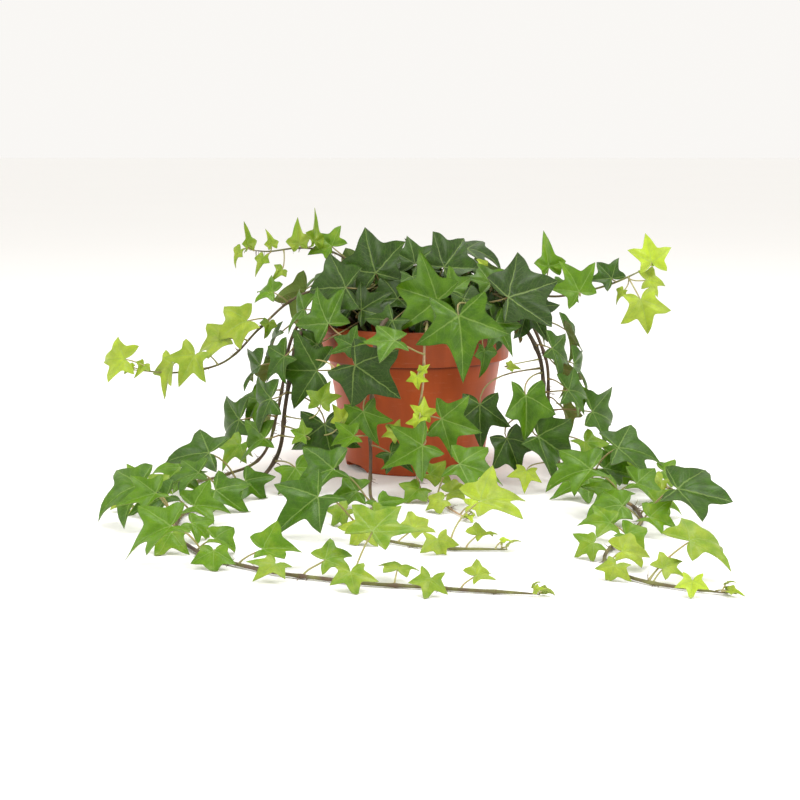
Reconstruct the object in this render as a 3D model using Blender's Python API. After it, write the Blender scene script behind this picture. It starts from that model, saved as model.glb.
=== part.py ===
"""Potted ivy: a plastic grower's pot, its compost, fourteen stems and the larger leaves.

The pot stands on the floor at the origin, +Z is up and the front of the plant faces -Y.
Stems that are longer than the pot is tall come down over the rim and lie along the floor.
Tables are in millimetres. MM turns them into Blender's metres.
"""

import math

import bmesh
import bpy
from mathutils import Matrix, Vector

MM = 0.001
GAP = 0.3  # clear space between pieces that touch

# Pot, millimetres.
POT_HEIGHT = 98.0
RIM_RADIUS = 65.0
BAND_HEIGHT = 23.0  # the upright collar below the lip
BAND_RADIUS = 64.2  # the collar at its lower edge
NECK_RADIUS = 58.8  # the wall just under the collar
BASE_RADIUS = 47.0
WALL = 1.6
LIP = 2.4  # the thickened edge at the top of the collar
POT_SIDES = 60
NOTCH_ANGLES = (-33.0, 87.0, 207.0)  # degrees round the pot from +X
NOTCH_SPAN = 38.0  # degrees
NOTCH_HEIGHT = 4.3
NOTCH_DEPTH = 7.0  # how far a notch reaches in from the base edge
DRAIN_RADIUS = 4.0
DRAIN_CIRCLE = 24.0
DRAIN_COUNT = 4

# Compost, millimetres.
SOIL_LEVEL = 84.0
SOIL_SIDES = 40

# Stems: name -> (radius at the root, radius at the tip, route).
STEMS = {
    "left_trailing_stem": (1.7, 1.0, [
        (-28, -18, 85), (-45, -30, 104), (-64, -44, 106), (-78, -56, 88), (-84, -62, 50),
        (-90, -70, 18), (-104, -88, 2.6), (-124, -122, 2.2), (-138, -166, 2.0),
        (-136, -212, 1.9), (-116, -256, 1.7), (-80, -290, 1.6), (-34, -312, 1.5),
        (14, -324, 1.4), (58, -334, 1.4)]),
    "right_trailing_stem": (1.7, 1.0, [
        (28, -16, 85), (46, -26, 105), (66, -38, 105), (80, -48, 84), (86, -55, 46),
        (92, -64, 16), (106, -82, 2.6), (124, -120, 2.2), (132, -164, 2.0),
        (122, -206, 1.9), (104, -244, 1.7), (98, -282, 1.6), (116, -314, 1.5),
        (150, -332, 1.4)]),
    "front_trailing_stem": (1.5, 0.9, [
        (-8, -30, 85), (-14, -48, 103), (-20, -70, 106), (-26, -84, 90), (-28, -89, 55),
        (-29, -96, 22), (-28, -114, 3.4), (-26, -146, 1.8), (-34, -184, 1.8),
        (-24, -220, 1.6), (8, -242, 1.4), (48, -246, 1.3)]),
    "front_sprig_stem": (1.0, 0.7, [
        (4, -34, 85), (6, -52, 102), (7, -72, 104), (6, -84, 92), (4, -88, 68),
        (1, -89, 40), (0, -96, 14), (6, -114, 2.2), (18, -142, 1.5), (30, -174, 1.2)]),
    "left_side_stem": (1.4, 0.9, [
        (-36, -4, 85), (-54, -10, 105), (-74, -16, 103), (-86, -20, 78), (-92, -26, 40),
        (-104, -34, 10), (-126, -52, 2.2), (-152, -84, 1.8), (-168, -124, 1.6),
        (-170, -160, 1.4)]),
    "right_side_stem": (1.4, 0.9, [
        (38, -2, 85), (56, -6, 105), (76, -10, 102), (88, -16, 76), (92, -20, 40),
        (104, -28, 10), (126, -44, 2.2), (152, -72, 1.8), (166, -108, 1.6),
        (172, -142, 1.4)]),
    "left_arching_stem": (1.2, 0.7, [
        (-26, 2, 85), (-42, 0, 107), (-64, -4, 120), (-86, -8, 112), (-104, -12, 96),
        (-119, -15, 80), (-136, -18, 70), (-162, -20, 66), (-192, -20, 68)]),
    "upper_left_stem": (1.0, 0.6, [
        (-20, 16, 85), (-28, 18, 118), (-50, 14, 142), (-76, 8, 148), (-98, 4, 146),
        (-112, 2, 147)]),
    "right_arching_stem": (1.2, 0.7, [
        (24, 6, 85), (42, 4, 110), (66, 0, 121), (92, -4, 116), (112, -7, 119),
        (130, -9, 124), (146, -10, 131), (158, -10, 137)]),
    "crown_front_stem": (1.5, 0.9, [(0, -14, 85), (2, -22, 104), (6, -26, 124)]),
    "crown_left_stem": (1.5, 0.9, [(-14, -2, 85), (-20, -4, 106), (-26, -6, 128)]),
    "crown_right_stem": (1.5, 0.9, [(14, 2, 85), (20, 2, 106), (28, -2, 130)]),
    "crown_back_stem": (1.5, 0.9, [(-2, 18, 85), (-2, 28, 106), (2, 38, 124)]),
    "back_drooping_stem": (1.4, 0.9, [
        (4, 34, 85), (8, 50, 105), (12, 72, 106), (15, 82, 88), (18, 86, 60),
        (16, 88, 34)]),
}

# Leaves: name, stem, the point where stalk and blade meet, the way the tip points as
# hours on a clock seen from the front, how far the upper face turns to the right and
# upwards in degrees, and the blade's length from stalk to tip.
LEAVES = [
    ("crown_leaf_01", "crown_front_stem", (14, -65, 119), 9.7, -8, 16, 38),
    ("crown_leaf_02", "right_trailing_stem", (27, -82, 111), 5.8, 10, 12, 42),
    ("crown_leaf_03", "crown_right_stem", (19, -34, 138), 1.2, 6, 24, 30),
    ("crown_leaf_04", "crown_left_stem", (-26, -32, 134), 11.3, -12, 16, 34),
    ("crown_leaf_05", "crown_left_stem", (-45, -50, 126), 9.2, -26, 18, 34),
    ("crown_leaf_06", "front_trailing_stem", (-56, -64, 104), 10.8, -24, 18, 30),
    ("crown_leaf_07", "front_trailing_stem", (-63, -74, 75), 9.0, -16, 8, 36),
    ("crown_leaf_08", "front_trailing_stem", (-38, -100, 82), 4.1, -10, 8, 35),
    ("crown_leaf_09", "front_sprig_stem", (-13, -107, 98), 9.2, -4, 66, 27),
    ("crown_leaf_10", "crown_right_stem", (60, -54, 120), 2.3, 18, 24, 40),
    ("crown_leaf_11", "crown_right_stem", (90, -14, 136), 11.8, 14, 12, 26),
    ("crown_leaf_12", "crown_back_stem", (36, 12, 147), 3.4, 10, 72, 30),
    ("crown_leaf_13", "right_arching_stem", (109, -26, 121), 11.3, 12, 8, 26),
    ("crown_leaf_14", "crown_back_stem", (-40, 44, 130), 9.4, -140, 40, 36),
    ("crown_leaf_15", "crown_back_stem", (-4, 66, 124), 6.4, 178, 34, 40),
    ("crown_leaf_16", "crown_back_stem", (44, 54, 124), 4.4, 140, 34, 38),
    ("crown_leaf_17", "upper_left_stem", (-76, 34, 118), 7.0, -120, 30, 32),
    ("crown_leaf_18", "crown_right_stem", (78, 34, 110), 4.2, 96, 34, 36),
    ("pot_front_leaf_01", "front_trailing_stem", (-33, -95, 52), 5.4, -8, 10, 24),
    ("pot_front_leaf_02", "left_trailing_stem", (-58, -84, 42), 5.6, -14, 12, 34),
    ("pot_front_leaf_03", "front_sprig_stem", (4, -110, 33), 7.8, 0, 28, 30),
    ("pot_front_leaf_04", "front_sprig_stem", (16, -100, 48), 3.6, -14, 14, 28),
    ("pot_front_leaf_05", "right_trailing_stem", (41, -80, 54), 6.1, 12, 6, 30),
    ("pot_front_leaf_06", "right_trailing_stem", (70, -82, 60), 6.1, 18, 20, 30),
    ("left_arch_leaf_01", "left_arching_stem", (-112, -28, 102), 8.2, -10, 30, 24),
    ("left_arch_leaf_02", "left_arching_stem", (-146, -34, 80), 6.8, -10, 26, 24),
    ("left_arch_leaf_03", "left_arching_stem", (-194, -26, 76), 9.2, -6, 24, 24),
    ("right_arch_leaf_01", "right_arching_stem", (158, -18, 140), 11.8, 8, 16, 22),
    ("right_arch_leaf_02", "right_arching_stem", (150, -26, 116), 5.6, 8, 20, 26),
    ("left_trail_leaf_01", "left_trailing_stem", (-130, -98, 26), 9.4, -16, 56, 34),
    ("left_trail_leaf_02", "left_trailing_stem", (-160, -186, 24), 8.4, -20, 56, 34),
    ("left_trail_leaf_03", "left_trailing_stem", (-130, -270, 20), 7.8, -10, 60, 30),
    ("left_trail_leaf_04", "left_trailing_stem", (-24, -298, 24), 12.6, 4, 60, 28),
    ("right_trail_leaf_01", "right_trailing_stem", (128, -92, 28), 2.6, 18, 56, 34),
    ("right_trail_leaf_02", "right_trailing_stem", (104, -150, 26), 8.6, -4, 56, 32),
    ("right_trail_leaf_03", "right_trailing_stem", (148, -196, 24), 3.4, 16, 56, 34),
    ("right_trail_leaf_04", "right_trailing_stem", (136, -302, 20), 1.6, 8, 60, 28),
    ("front_trail_leaf_01", "front_trailing_stem", (-50, -150, 26), 8.4, -8, 54, 32),
    ("front_trail_leaf_02", "front_trailing_stem", (-56, -208, 22), 7.2, -8, 50, 35),
    ("front_trail_leaf_03", "front_trailing_stem", (34, -228, 24), 1.8, 8, 56, 30),
    ("front_sprig_leaf_01", "front_sprig_stem", (26, -134, 26), 3.6, 6, 50, 31),
    ("left_side_leaf_01", "left_side_stem", (-116, -44, 38), 8.8, -40, 24, 32),
    ("right_side_leaf_01", "right_side_stem", (118, -36, 42), 3.2, 36, 22, 30),
    ("back_drooping_leaf_01", "back_drooping_stem", (24, 102, 70), 5.6, 172, 20, 34),
]

# Leaf blade: where the lobes end and where the bays between them lie, from the middle
# lobe round one half to the stalk, as shares of the blade's length.
LOBE_TIPS = [(0.0, 1.0), (0.70, 0.42), (0.42, -0.26)]
BAYS = [(0.24, 0.42), (0.36, 0.03)]
LOBE_BULGE = 0.05  # how far a lobe's side bows out between its tip and its bay
SIDE_POINTS = 2  # outline points between a tip and its bay
HEEL = (0.13, -0.12)  # the round of the blade beside the stalk
BLADE_THICK = 0.8
STALK_WIDTH = 1.3
STALK_STEPS = 4
STALK_REACH = 0.6  # from the blade to the stem, as a share of the blade's length
STALK_RISE = 0.5  # how far the stalk comes up from under the blade, not along it
DROOP = 0.16  # how far the lobe tips hang below the middle, as a share of the length
FOLD = 0.05  # how far the middle rib lies below the blade beside it

COLOURS = {
    "terracotta_plastic": ((0.42, 0.10, 0.045), 0.42),
    "compost": ((0.035, 0.022, 0.014), 0.95),
    "ivy_stem": ((0.12, 0.11, 0.045), 0.6),
    "ivy_leaf": ((0.10, 0.24, 0.035), 0.4),
    "young_ivy_leaf": ((0.28, 0.42, 0.04), 0.45),
}
YOUNG_LENGTH = 27.0  # a blade shorter than this is a young one


def clear_scene():
    for item in list(bpy.data.objects):
        bpy.data.objects.remove(item)


def make_materials():
    made = {}
    for name, (colour, roughness) in COLOURS.items():
        made[name] = bpy.data.materials.new(name)
        made[name].use_nodes = True
        shader = made[name].node_tree.nodes["Principled BSDF"]
        shader.inputs["Base Color"].default_value = (*colour, 1.0)
        shader.inputs["Roughness"].default_value = roughness
        shader.inputs["Metallic"].default_value = 0.0
    return made


def add_object(name, data, material):
    data.materials.append(material)
    item = bpy.data.objects.new(name, data)
    bpy.context.scene.collection.objects.link(item)
    return item


def mesh_from(name, shape):
    """A mesh from a closed bmesh that is in millimetres, its faces turned outwards."""
    bmesh.ops.triangulate(shape, faces=shape.faces)
    bmesh.ops.recalc_face_normals(shape, faces=shape.faces)
    if shape.calc_volume(signed=True) < 0:
        bmesh.ops.reverse_faces(shape, faces=shape.faces)
    bmesh.ops.scale(shape, vec=(MM, MM, MM), verts=shape.verts)
    mesh = bpy.data.meshes.new(name)
    shape.to_mesh(mesh)
    shape.free()
    return mesh


def turned(name, profile, sides):
    """A closed solid from a profile of (radius, height) that starts and ends on the axis."""
    shape = bmesh.new()
    start, *ring_rows, end = profile
    poles = [shape.verts.new((0, 0, z)) for _, z in (start, end)]
    rings = []
    for radius, z in ring_rows:
        angles = [2 * math.pi * k / sides for k in range(sides)]
        rings.append([shape.verts.new((radius * math.cos(a), radius * math.sin(a), z))
                      for a in angles])
    for k in range(sides):
        n = (k + 1) % sides
        shape.faces.new((poles[0], rings[0][n], rings[0][k]))
        shape.faces.new((poles[1], rings[-1][k], rings[-1][n]))
        for low, high in zip(rings, rings[1:]):
            shape.faces.new((low[k], low[n], high[n], high[k]))
    return mesh_from(name, shape)


def cut(target, cutter):
    cutter.hide_render = True
    cutter.display_type = "WIRE"
    modifier = target.modifiers.new(cutter.name, "BOOLEAN")
    modifier.operation = "DIFFERENCE"
    modifier.solver = "EXACT"
    modifier.object = cutter


def notch_cutter(number, middle):
    """A wedge of ring that opens the foot of the wall over one drainage notch."""
    inner, outer = BASE_RADIUS - NOTCH_DEPTH, BASE_RADIUS + 5
    steps = 6
    shape = bmesh.new()
    columns = []
    for k in range(steps + 1):
        angle = math.radians(middle - NOTCH_SPAN / 2 + NOTCH_SPAN * k / steps)
        for radius in (inner, outer):
            x, y = radius * math.cos(angle), radius * math.sin(angle)
            columns.append([shape.verts.new((x, y, z)) for z in (-2, NOTCH_HEIGHT)])
    for k in range(steps):
        (a, b), (c, d), (e, f), (g, h) = columns[2 * k:2 * k + 4]
        for face in ((a, c, g, e), (b, f, h, d), (a, e, f, b), (c, d, h, g)):
            shape.faces.new(face)
    for first, second in ((columns[0], columns[1]), (columns[-1], columns[-2])):
        shape.faces.new((first[0], first[1], second[1], second[0]))
    mesh = mesh_from(f"notch_cutter_{number}", shape)
    item = bpy.data.objects.new(mesh.name, mesh)
    bpy.context.scene.collection.objects.link(item)
    return item


def drain_cutter(number):
    angle = 2 * math.pi * (number + 0.5) / DRAIN_COUNT
    shape = bmesh.new()
    place = Matrix.Translation((DRAIN_CIRCLE * math.cos(angle), DRAIN_CIRCLE * math.sin(angle), 0))
    bmesh.ops.create_cone(shape, cap_ends=True, segments=16, radius1=DRAIN_RADIUS,
                          radius2=DRAIN_RADIUS, depth=10, matrix=place)
    mesh = mesh_from(f"drain_cutter_{number}", shape)
    item = bpy.data.objects.new(mesh.name, mesh)
    bpy.context.scene.collection.objects.link(item)
    return item


def make_pot(materials):
    shoulder = POT_HEIGHT - BAND_HEIGHT
    profile = [
        (0, 0), (BASE_RADIUS - 1.5, 0), (BASE_RADIUS, 1.5), (NECK_RADIUS, shoulder - 1),
        (BAND_RADIUS, shoulder), (BAND_RADIUS, shoulder + 1), (RIM_RADIUS - 0.4, POT_HEIGHT - 4),
        (RIM_RADIUS, POT_HEIGHT - 3.5), (RIM_RADIUS, POT_HEIGHT - 0.6),
        (RIM_RADIUS - 0.7, POT_HEIGHT), (RIM_RADIUS - LIP + 0.5, POT_HEIGHT),
        (RIM_RADIUS - LIP, POT_HEIGHT - 0.6), (BAND_RADIUS - WALL, shoulder + 2.5),
        (NECK_RADIUS - WALL, shoulder), (BASE_RADIUS - WALL, 2.6), (BASE_RADIUS - WALL - 1, WALL),
        (0, WALL)]
    pot = add_object("pot", turned("pot", profile, POT_SIDES), materials["terracotta_plastic"])
    for number, middle in enumerate(NOTCH_ANGLES):
        cut(pot, notch_cutter(number, middle))
    for number in range(DRAIN_COUNT):
        cut(pot, drain_cutter(number))
    pot.data.shade_smooth()
    pot.data.set_sharp_from_angle(angle=math.radians(35))


def make_soil(materials):
    shoulder = POT_HEIGHT - BAND_HEIGHT
    clear = WALL + GAP
    profile = [
        (0, WALL + GAP), (BASE_RADIUS - clear - 1.4, WALL + GAP), (BASE_RADIUS - clear - 0.2, 3.4),
        (NECK_RADIUS - clear - 0.1, shoulder), (BAND_RADIUS - clear - 0.2, shoulder + 3),
        (BAND_RADIUS - clear - 0.4, SOIL_LEVEL - 1.5), (40, SOIL_LEVEL - 0.4), (0, SOIL_LEVEL)]
    add_object("potting_compost", turned("potting_compost", profile, SOIL_SIDES),
               materials["compost"])


def spline_points(route, spacing):
    """Points about `spacing` apart on a smooth curve through the route's own points."""
    points = [Vector(p) for p in route]
    ends = [2 * points[0] - points[1], *points, 2 * points[-1] - points[-2]]
    found = [points[0]]
    for a, b, c, d in zip(ends, ends[1:], ends[2:], ends[3:]):
        steps = max(1, round((c - b).length / spacing))
        for k in range(1, steps + 1):
            t = k / steps
            found.append(0.5 * (2 * b + (c - a) * t + (2 * a - 5 * b + 4 * c - d) * t**2
                                + (3 * b - a - 3 * c + d) * t**3))
    return found


def make_stem(name, materials):
    root, tip, route = STEMS[name]
    points = spline_points(route, 11)
    curve = bpy.data.curves.new(name, "CURVE")
    curve.dimensions = "3D"
    curve.bevel_depth = root * MM
    curve.bevel_resolution = 1
    curve.use_fill_caps = True
    spline = curve.splines.new("POLY")
    spline.points.add(len(points) - 1)
    for k, (place, point) in enumerate(zip(spline.points, points)):
        place.co = (*(point * MM), 1)
        place.radius = 1 + (tip / root - 1) * k / (len(points) - 1)
    add_object(name, curve, materials["ivy_stem"])


def stalk_root(stem, wanted):
    """The stem's point nearest to `wanted`, its direction there and its radius."""
    root, tip, route = STEMS[stem]
    points = spline_points(route, 3)
    best = min(range(1, len(points) - 1), key=lambda k: (points[k] - wanted).length)
    along = (points[best + 1] - points[best - 1]).normalized()
    return points[best], along, root + (tip - root) * best / (len(points) - 1)


def clock_direction(hours):
    angle = math.radians(30 * hours)
    return Vector((math.sin(angle), 0, math.cos(angle)))


def blade_axes(hours, turn, lift):
    """The blade's own axes: to its right, towards its tip, and out of its upper face."""
    turn, lift = math.radians(turn), math.radians(lift)
    face = Vector((math.sin(turn) * math.cos(lift), -math.cos(turn) * math.cos(lift),
                   math.sin(lift)))
    ahead = clock_direction(hours)
    ahead = (ahead - face * ahead.dot(face)).normalized()
    return Matrix((ahead.cross(face), ahead, face)).transposed()


def lobed_side(tip, bay):
    """Outline points from a lobe's tip to a bay, the tip first and the bay left out."""
    tip, bay = Vector(tip), Vector(bay)
    along = bay - tip
    out = Vector((-along.y, along.x)).normalized()
    if out.dot((tip + bay) / 2) < 0:
        out = -out
    found = []
    for k in range(SIDE_POINTS + 1):
        t = k / (SIDE_POINTS + 1)
        found.append(tip + along * t + out * LOBE_BULGE * math.sin(math.pi * t))
    return found


def half_outline():
    """One half of the blade's edge, from the middle lobe's tip to the stalk."""
    found = lobed_side(LOBE_TIPS[0], BAYS[0])
    for bay, tip, after in ((BAYS[0], LOBE_TIPS[1], BAYS[1]), (BAYS[1], LOBE_TIPS[2], HEEL)):
        found += [Vector(bay), *reversed(lobed_side(tip, bay)[1:]), *lobed_side(tip, after)]
    return found + [Vector(HEEL)]


def blade_height(x, y):
    """How far the upper face lies above the stalk's end, for a blade of length 1."""
    return FOLD * min(1.0, abs(x) / 0.2) - DROOP * (x * x + y * y)


def stalk_path(stem, heel, axes, length):
    """Points from the stem's skin to the blade: out of the stem, then up under the blade."""
    back = -(axes @ Vector((0, 1, STALK_RISE))).normalized()
    root, along, radius = stalk_root(stem, heel + back * STALK_REACH * length)
    out = heel - root
    out = (out - along * out.dot(along)).normalized()
    start = root + out * (radius + GAP + STALK_WIDTH / 4)
    reach = (heel - start).length
    controls = [start, start + out * reach * 0.3, heel + back * reach * 0.4, heel]
    found = []
    for k in range(STALK_STEPS + 1):
        t = k / STALK_STEPS
        weights = ((1 - t)**3, 3 * t * (1 - t)**2, 3 * t**2 * (1 - t), t**3)
        found.append(sum((c * w for c, w in zip(controls, weights)), Vector()))
    return found


def make_leaf(row, materials):
    """One leaf: the blade as a thin lobed slab, and its stalk drawn out of the slab's heel."""
    name, stem, place, hours, turn, lift, length = row
    place, axes = Vector(place), blade_axes(hours, turn, lift)
    half = half_outline()
    heel = STALK_WIDTH / 2 / length
    outline = ([Vector((-heel, 0))] + [Vector((-p.x, p.y)) for p in reversed(half[1:])]
               + half + [Vector((heel, 0))])
    shape = bmesh.new()
    layers = []
    for drop in (0, BLADE_THICK):
        middle = Vector((0, 0.12, blade_height(0, 0.12)))
        points = [middle] + [Vector((p.x, p.y, blade_height(p.x, p.y))) for p in outline]
        layers.append([shape.verts.new(place + axes @ (p * length) - axes.col[2] * drop)
                       for p in points])
    top, under = layers
    last = len(outline)
    for k in range(1, last + 1):
        n = k % last + 1
        shape.faces.new((top[0], top[k], top[n]))
        shape.faces.new((under[0], under[n], under[k]))
        if k < last:
            shape.faces.new((top[k], under[k], under[n], top[n]))
    ring = [top[1], top[last], under[last], under[1]]
    heel_point = place - axes.col[2] * BLADE_THICK / 2
    path = stalk_path(stem, heel_point, axes, length)
    path.reverse()
    side = axes.col[0]
    for k in range(1, len(path)):
        ahead = (path[min(k + 1, len(path) - 1)] - path[k - 1]).normalized()
        side = (side - ahead * ahead.dot(side)).normalized()
        wide, high = side * STALK_WIDTH / 2, ahead.cross(side) * STALK_WIDTH / 2
        corners = [path[k] - wide + high, path[k] + wide + high,
                   path[k] + wide - high, path[k] - wide - high]
        new_ring = [shape.verts.new(c) for c in corners]
        for j in range(4):
            m = (j + 1) % 4
            shape.faces.new((ring[j], ring[m], new_ring[m], new_ring[j]))
        ring = new_ring
    shape.faces.new(ring)
    kind = "young_ivy_leaf" if length < YOUNG_LENGTH else "ivy_leaf"
    add_object(name, mesh_from(name, shape), materials[kind])


def main():
    clear_scene()
    materials = make_materials()
    make_pot(materials)
    make_soil(materials)
    for name in STEMS:
        make_stem(name, materials)
    for row in LEAVES:
        make_leaf(row, materials)


main()
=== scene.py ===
"""The looks of a potted ivy, laid out as a Blender add-on and run as a script.

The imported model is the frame: its pot, compost, stems and main leaves say where everything
is. Each of them is replaced by a finely modelled piece in the same place, and the smaller
leaves, buds and air roots are added. Tables are in millimetres.
"""

import math
import random
from collections import namedtuple

import bmesh
import bpy
from bpy.props import FloatProperty, FloatVectorProperty, IntProperty, PointerProperty
from mathutils import Matrix, Vector, noise
from mathutils.bvhtree import BVHTree


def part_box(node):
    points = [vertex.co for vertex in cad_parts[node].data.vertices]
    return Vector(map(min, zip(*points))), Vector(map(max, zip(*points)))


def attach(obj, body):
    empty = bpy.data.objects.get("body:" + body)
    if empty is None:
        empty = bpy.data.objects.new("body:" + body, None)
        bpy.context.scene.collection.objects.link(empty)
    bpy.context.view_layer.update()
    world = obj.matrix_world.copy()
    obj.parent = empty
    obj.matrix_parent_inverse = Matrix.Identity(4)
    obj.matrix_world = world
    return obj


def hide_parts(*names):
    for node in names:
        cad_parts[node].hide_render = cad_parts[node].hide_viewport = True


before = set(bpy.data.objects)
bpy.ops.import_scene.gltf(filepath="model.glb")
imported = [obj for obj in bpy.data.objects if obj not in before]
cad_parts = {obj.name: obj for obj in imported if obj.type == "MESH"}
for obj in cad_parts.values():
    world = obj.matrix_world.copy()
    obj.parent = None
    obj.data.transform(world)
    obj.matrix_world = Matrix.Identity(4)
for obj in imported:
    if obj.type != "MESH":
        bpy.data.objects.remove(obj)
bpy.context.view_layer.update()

bl_info = {
    "name": "Potted Ivy",
    "version": (1, 0, 0),
    "blender": (4, 5, 0),
    "location": "3D View > Sidebar > Ivy",
    "description": "Models a trailing ivy in a plastic grower's pot",
    "category": "Add Mesh",
}

MM = 0.001
BODY = "root"
UP = Vector((0, 0, 1))

# Millimetres and degrees.
FLOOR_CLEAR = 0.15  # stems and stalks stay this far above the floor
COMPOST_GAP = 0.3  # between the compost and the pot's wall
YOUNG_LENGTH = 27  # a main leaf shorter than this is a young one
NOTCH_COUNT = 3
NOTCH_FIRST = -33  # degrees round the pot from +X
NOTCH_SPAN = 38  # degrees
NOTCH_HEIGHT = 4.3
NOTCH_DEPTH = 7
DRAIN_COUNT = 4
DRAIN_RADIUS = 4
DRAIN_CIRCLE = 24
GOLDEN_ANGLE = 2.39996  # radians, which spreads points evenly over a dome
CROWN_FOOT = 96  # height of the middle of the crown's domes

# How far a leaf may be moved along its own facing, to keep its blade clear of the others.
TABLE_SHIFTS = (0.0, 1.5, -1.5, 3.0, -3.0, 4.5, -4.5, 6.0, -6.0, 8.0, -8.0)
CROWN_SHIFTS = (0.0, 2.0, -2.0)
BUD_SHIFTS = (0.0, 1.0, 2.0, 3.0)

# Stems: radius at the root, radius at the tip, age at the root, age at the tip, route.
# Age runs from 0, just opened, to 1, old and woody.
STEMS = {
    "left_trailing_stem": (1.7, 1.0, 1.0, 0.55, [
        (-28, -18, 85), (-45, -30, 104), (-64, -44, 106), (-78, -56, 88), (-84, -62, 50),
        (-90, -70, 18), (-104, -88, 2.6), (-124, -122, 2.2), (-138, -166, 2.0),
        (-136, -212, 1.9), (-116, -256, 1.7), (-80, -290, 1.6), (-34, -312, 1.5),
        (14, -324, 1.4), (58, -334, 1.4)]),
    "right_trailing_stem": (1.7, 1.0, 1.0, 0.55, [
        (28, -16, 85), (46, -26, 105), (66, -38, 105), (80, -48, 84), (86, -55, 46),
        (92, -64, 16), (106, -82, 2.6), (124, -120, 2.2), (132, -164, 2.0),
        (122, -206, 1.9), (104, -244, 1.7), (98, -282, 1.6), (116, -314, 1.5),
        (150, -332, 1.4)]),
    "front_trailing_stem": (1.5, 0.9, 0.95, 0.4, [
        (-8, -30, 85), (-14, -48, 103), (-20, -70, 106), (-26, -84, 90), (-28, -89, 55),
        (-29, -96, 22), (-28, -114, 3.4), (-26, -146, 1.8), (-34, -184, 1.8),
        (-24, -220, 1.6), (8, -242, 1.4), (48, -246, 1.3)]),
    "front_sprig_stem": (1.0, 0.7, 0.12, 0.0, [
        (4, -34, 85), (6, -52, 102), (7, -72, 104), (6, -84, 92), (4, -88, 68),
        (1, -89, 40), (0, -96, 14), (6, -114, 2.2), (18, -142, 1.5), (30, -174, 1.2)]),
    "left_side_stem": (1.4, 0.9, 0.9, 0.4, [
        (-36, -4, 85), (-54, -10, 105), (-74, -16, 103), (-86, -20, 78), (-92, -26, 40),
        (-104, -34, 10), (-126, -52, 2.2), (-152, -84, 1.8), (-168, -124, 1.6),
        (-170, -160, 1.4)]),
    "right_side_stem": (1.4, 0.9, 0.9, 0.4, [
        (38, -2, 85), (56, -6, 105), (76, -10, 102), (88, -16, 76), (92, -20, 40),
        (104, -28, 10), (126, -44, 2.2), (152, -72, 1.8), (166, -108, 1.6),
        (172, -142, 1.4)]),
    "left_arching_stem": (1.2, 0.7, 0.8, 0.45, [
        (-26, 2, 85), (-42, 0, 107), (-64, -4, 120), (-86, -8, 112), (-104, -12, 96),
        (-119, -15, 80), (-136, -18, 70), (-162, -20, 66), (-192, -20, 68)]),
    "upper_left_stem": (1.0, 0.6, 0.8, 0.5, [
        (-20, 16, 85), (-28, 18, 118), (-50, 14, 142), (-76, 8, 148), (-98, 4, 146),
        (-112, 2, 147)]),
    "right_arching_stem": (1.2, 0.7, 0.9, 0.4, [
        (24, 6, 85), (42, 4, 110), (66, 0, 121), (92, -4, 116), (112, -7, 119),
        (130, -9, 124), (146, -10, 131), (158, -10, 137)]),
    "crown_front_stem": (1.5, 0.9, 1.0, 0.6, [(0, -14, 85), (2, -22, 104), (6, -26, 124)]),
    "crown_left_stem": (1.5, 0.9, 1.0, 0.6, [(-14, -2, 85), (-20, -4, 106), (-26, -6, 128)]),
    "crown_right_stem": (1.5, 0.9, 1.0, 0.6, [(14, 2, 85), (20, 2, 106), (28, -2, 130)]),
    "crown_back_stem": (1.5, 0.9, 1.0, 0.6, [(-2, 18, 85), (-2, 28, 106), (2, 38, 124)]),
    "back_drooping_stem": (1.4, 0.9, 0.9, 0.4, [
        (4, 34, 85), (8, 50, 105), (12, 72, 106), (15, 82, 88), (18, 86, 60),
        (16, 88, 34)]),
}

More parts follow.
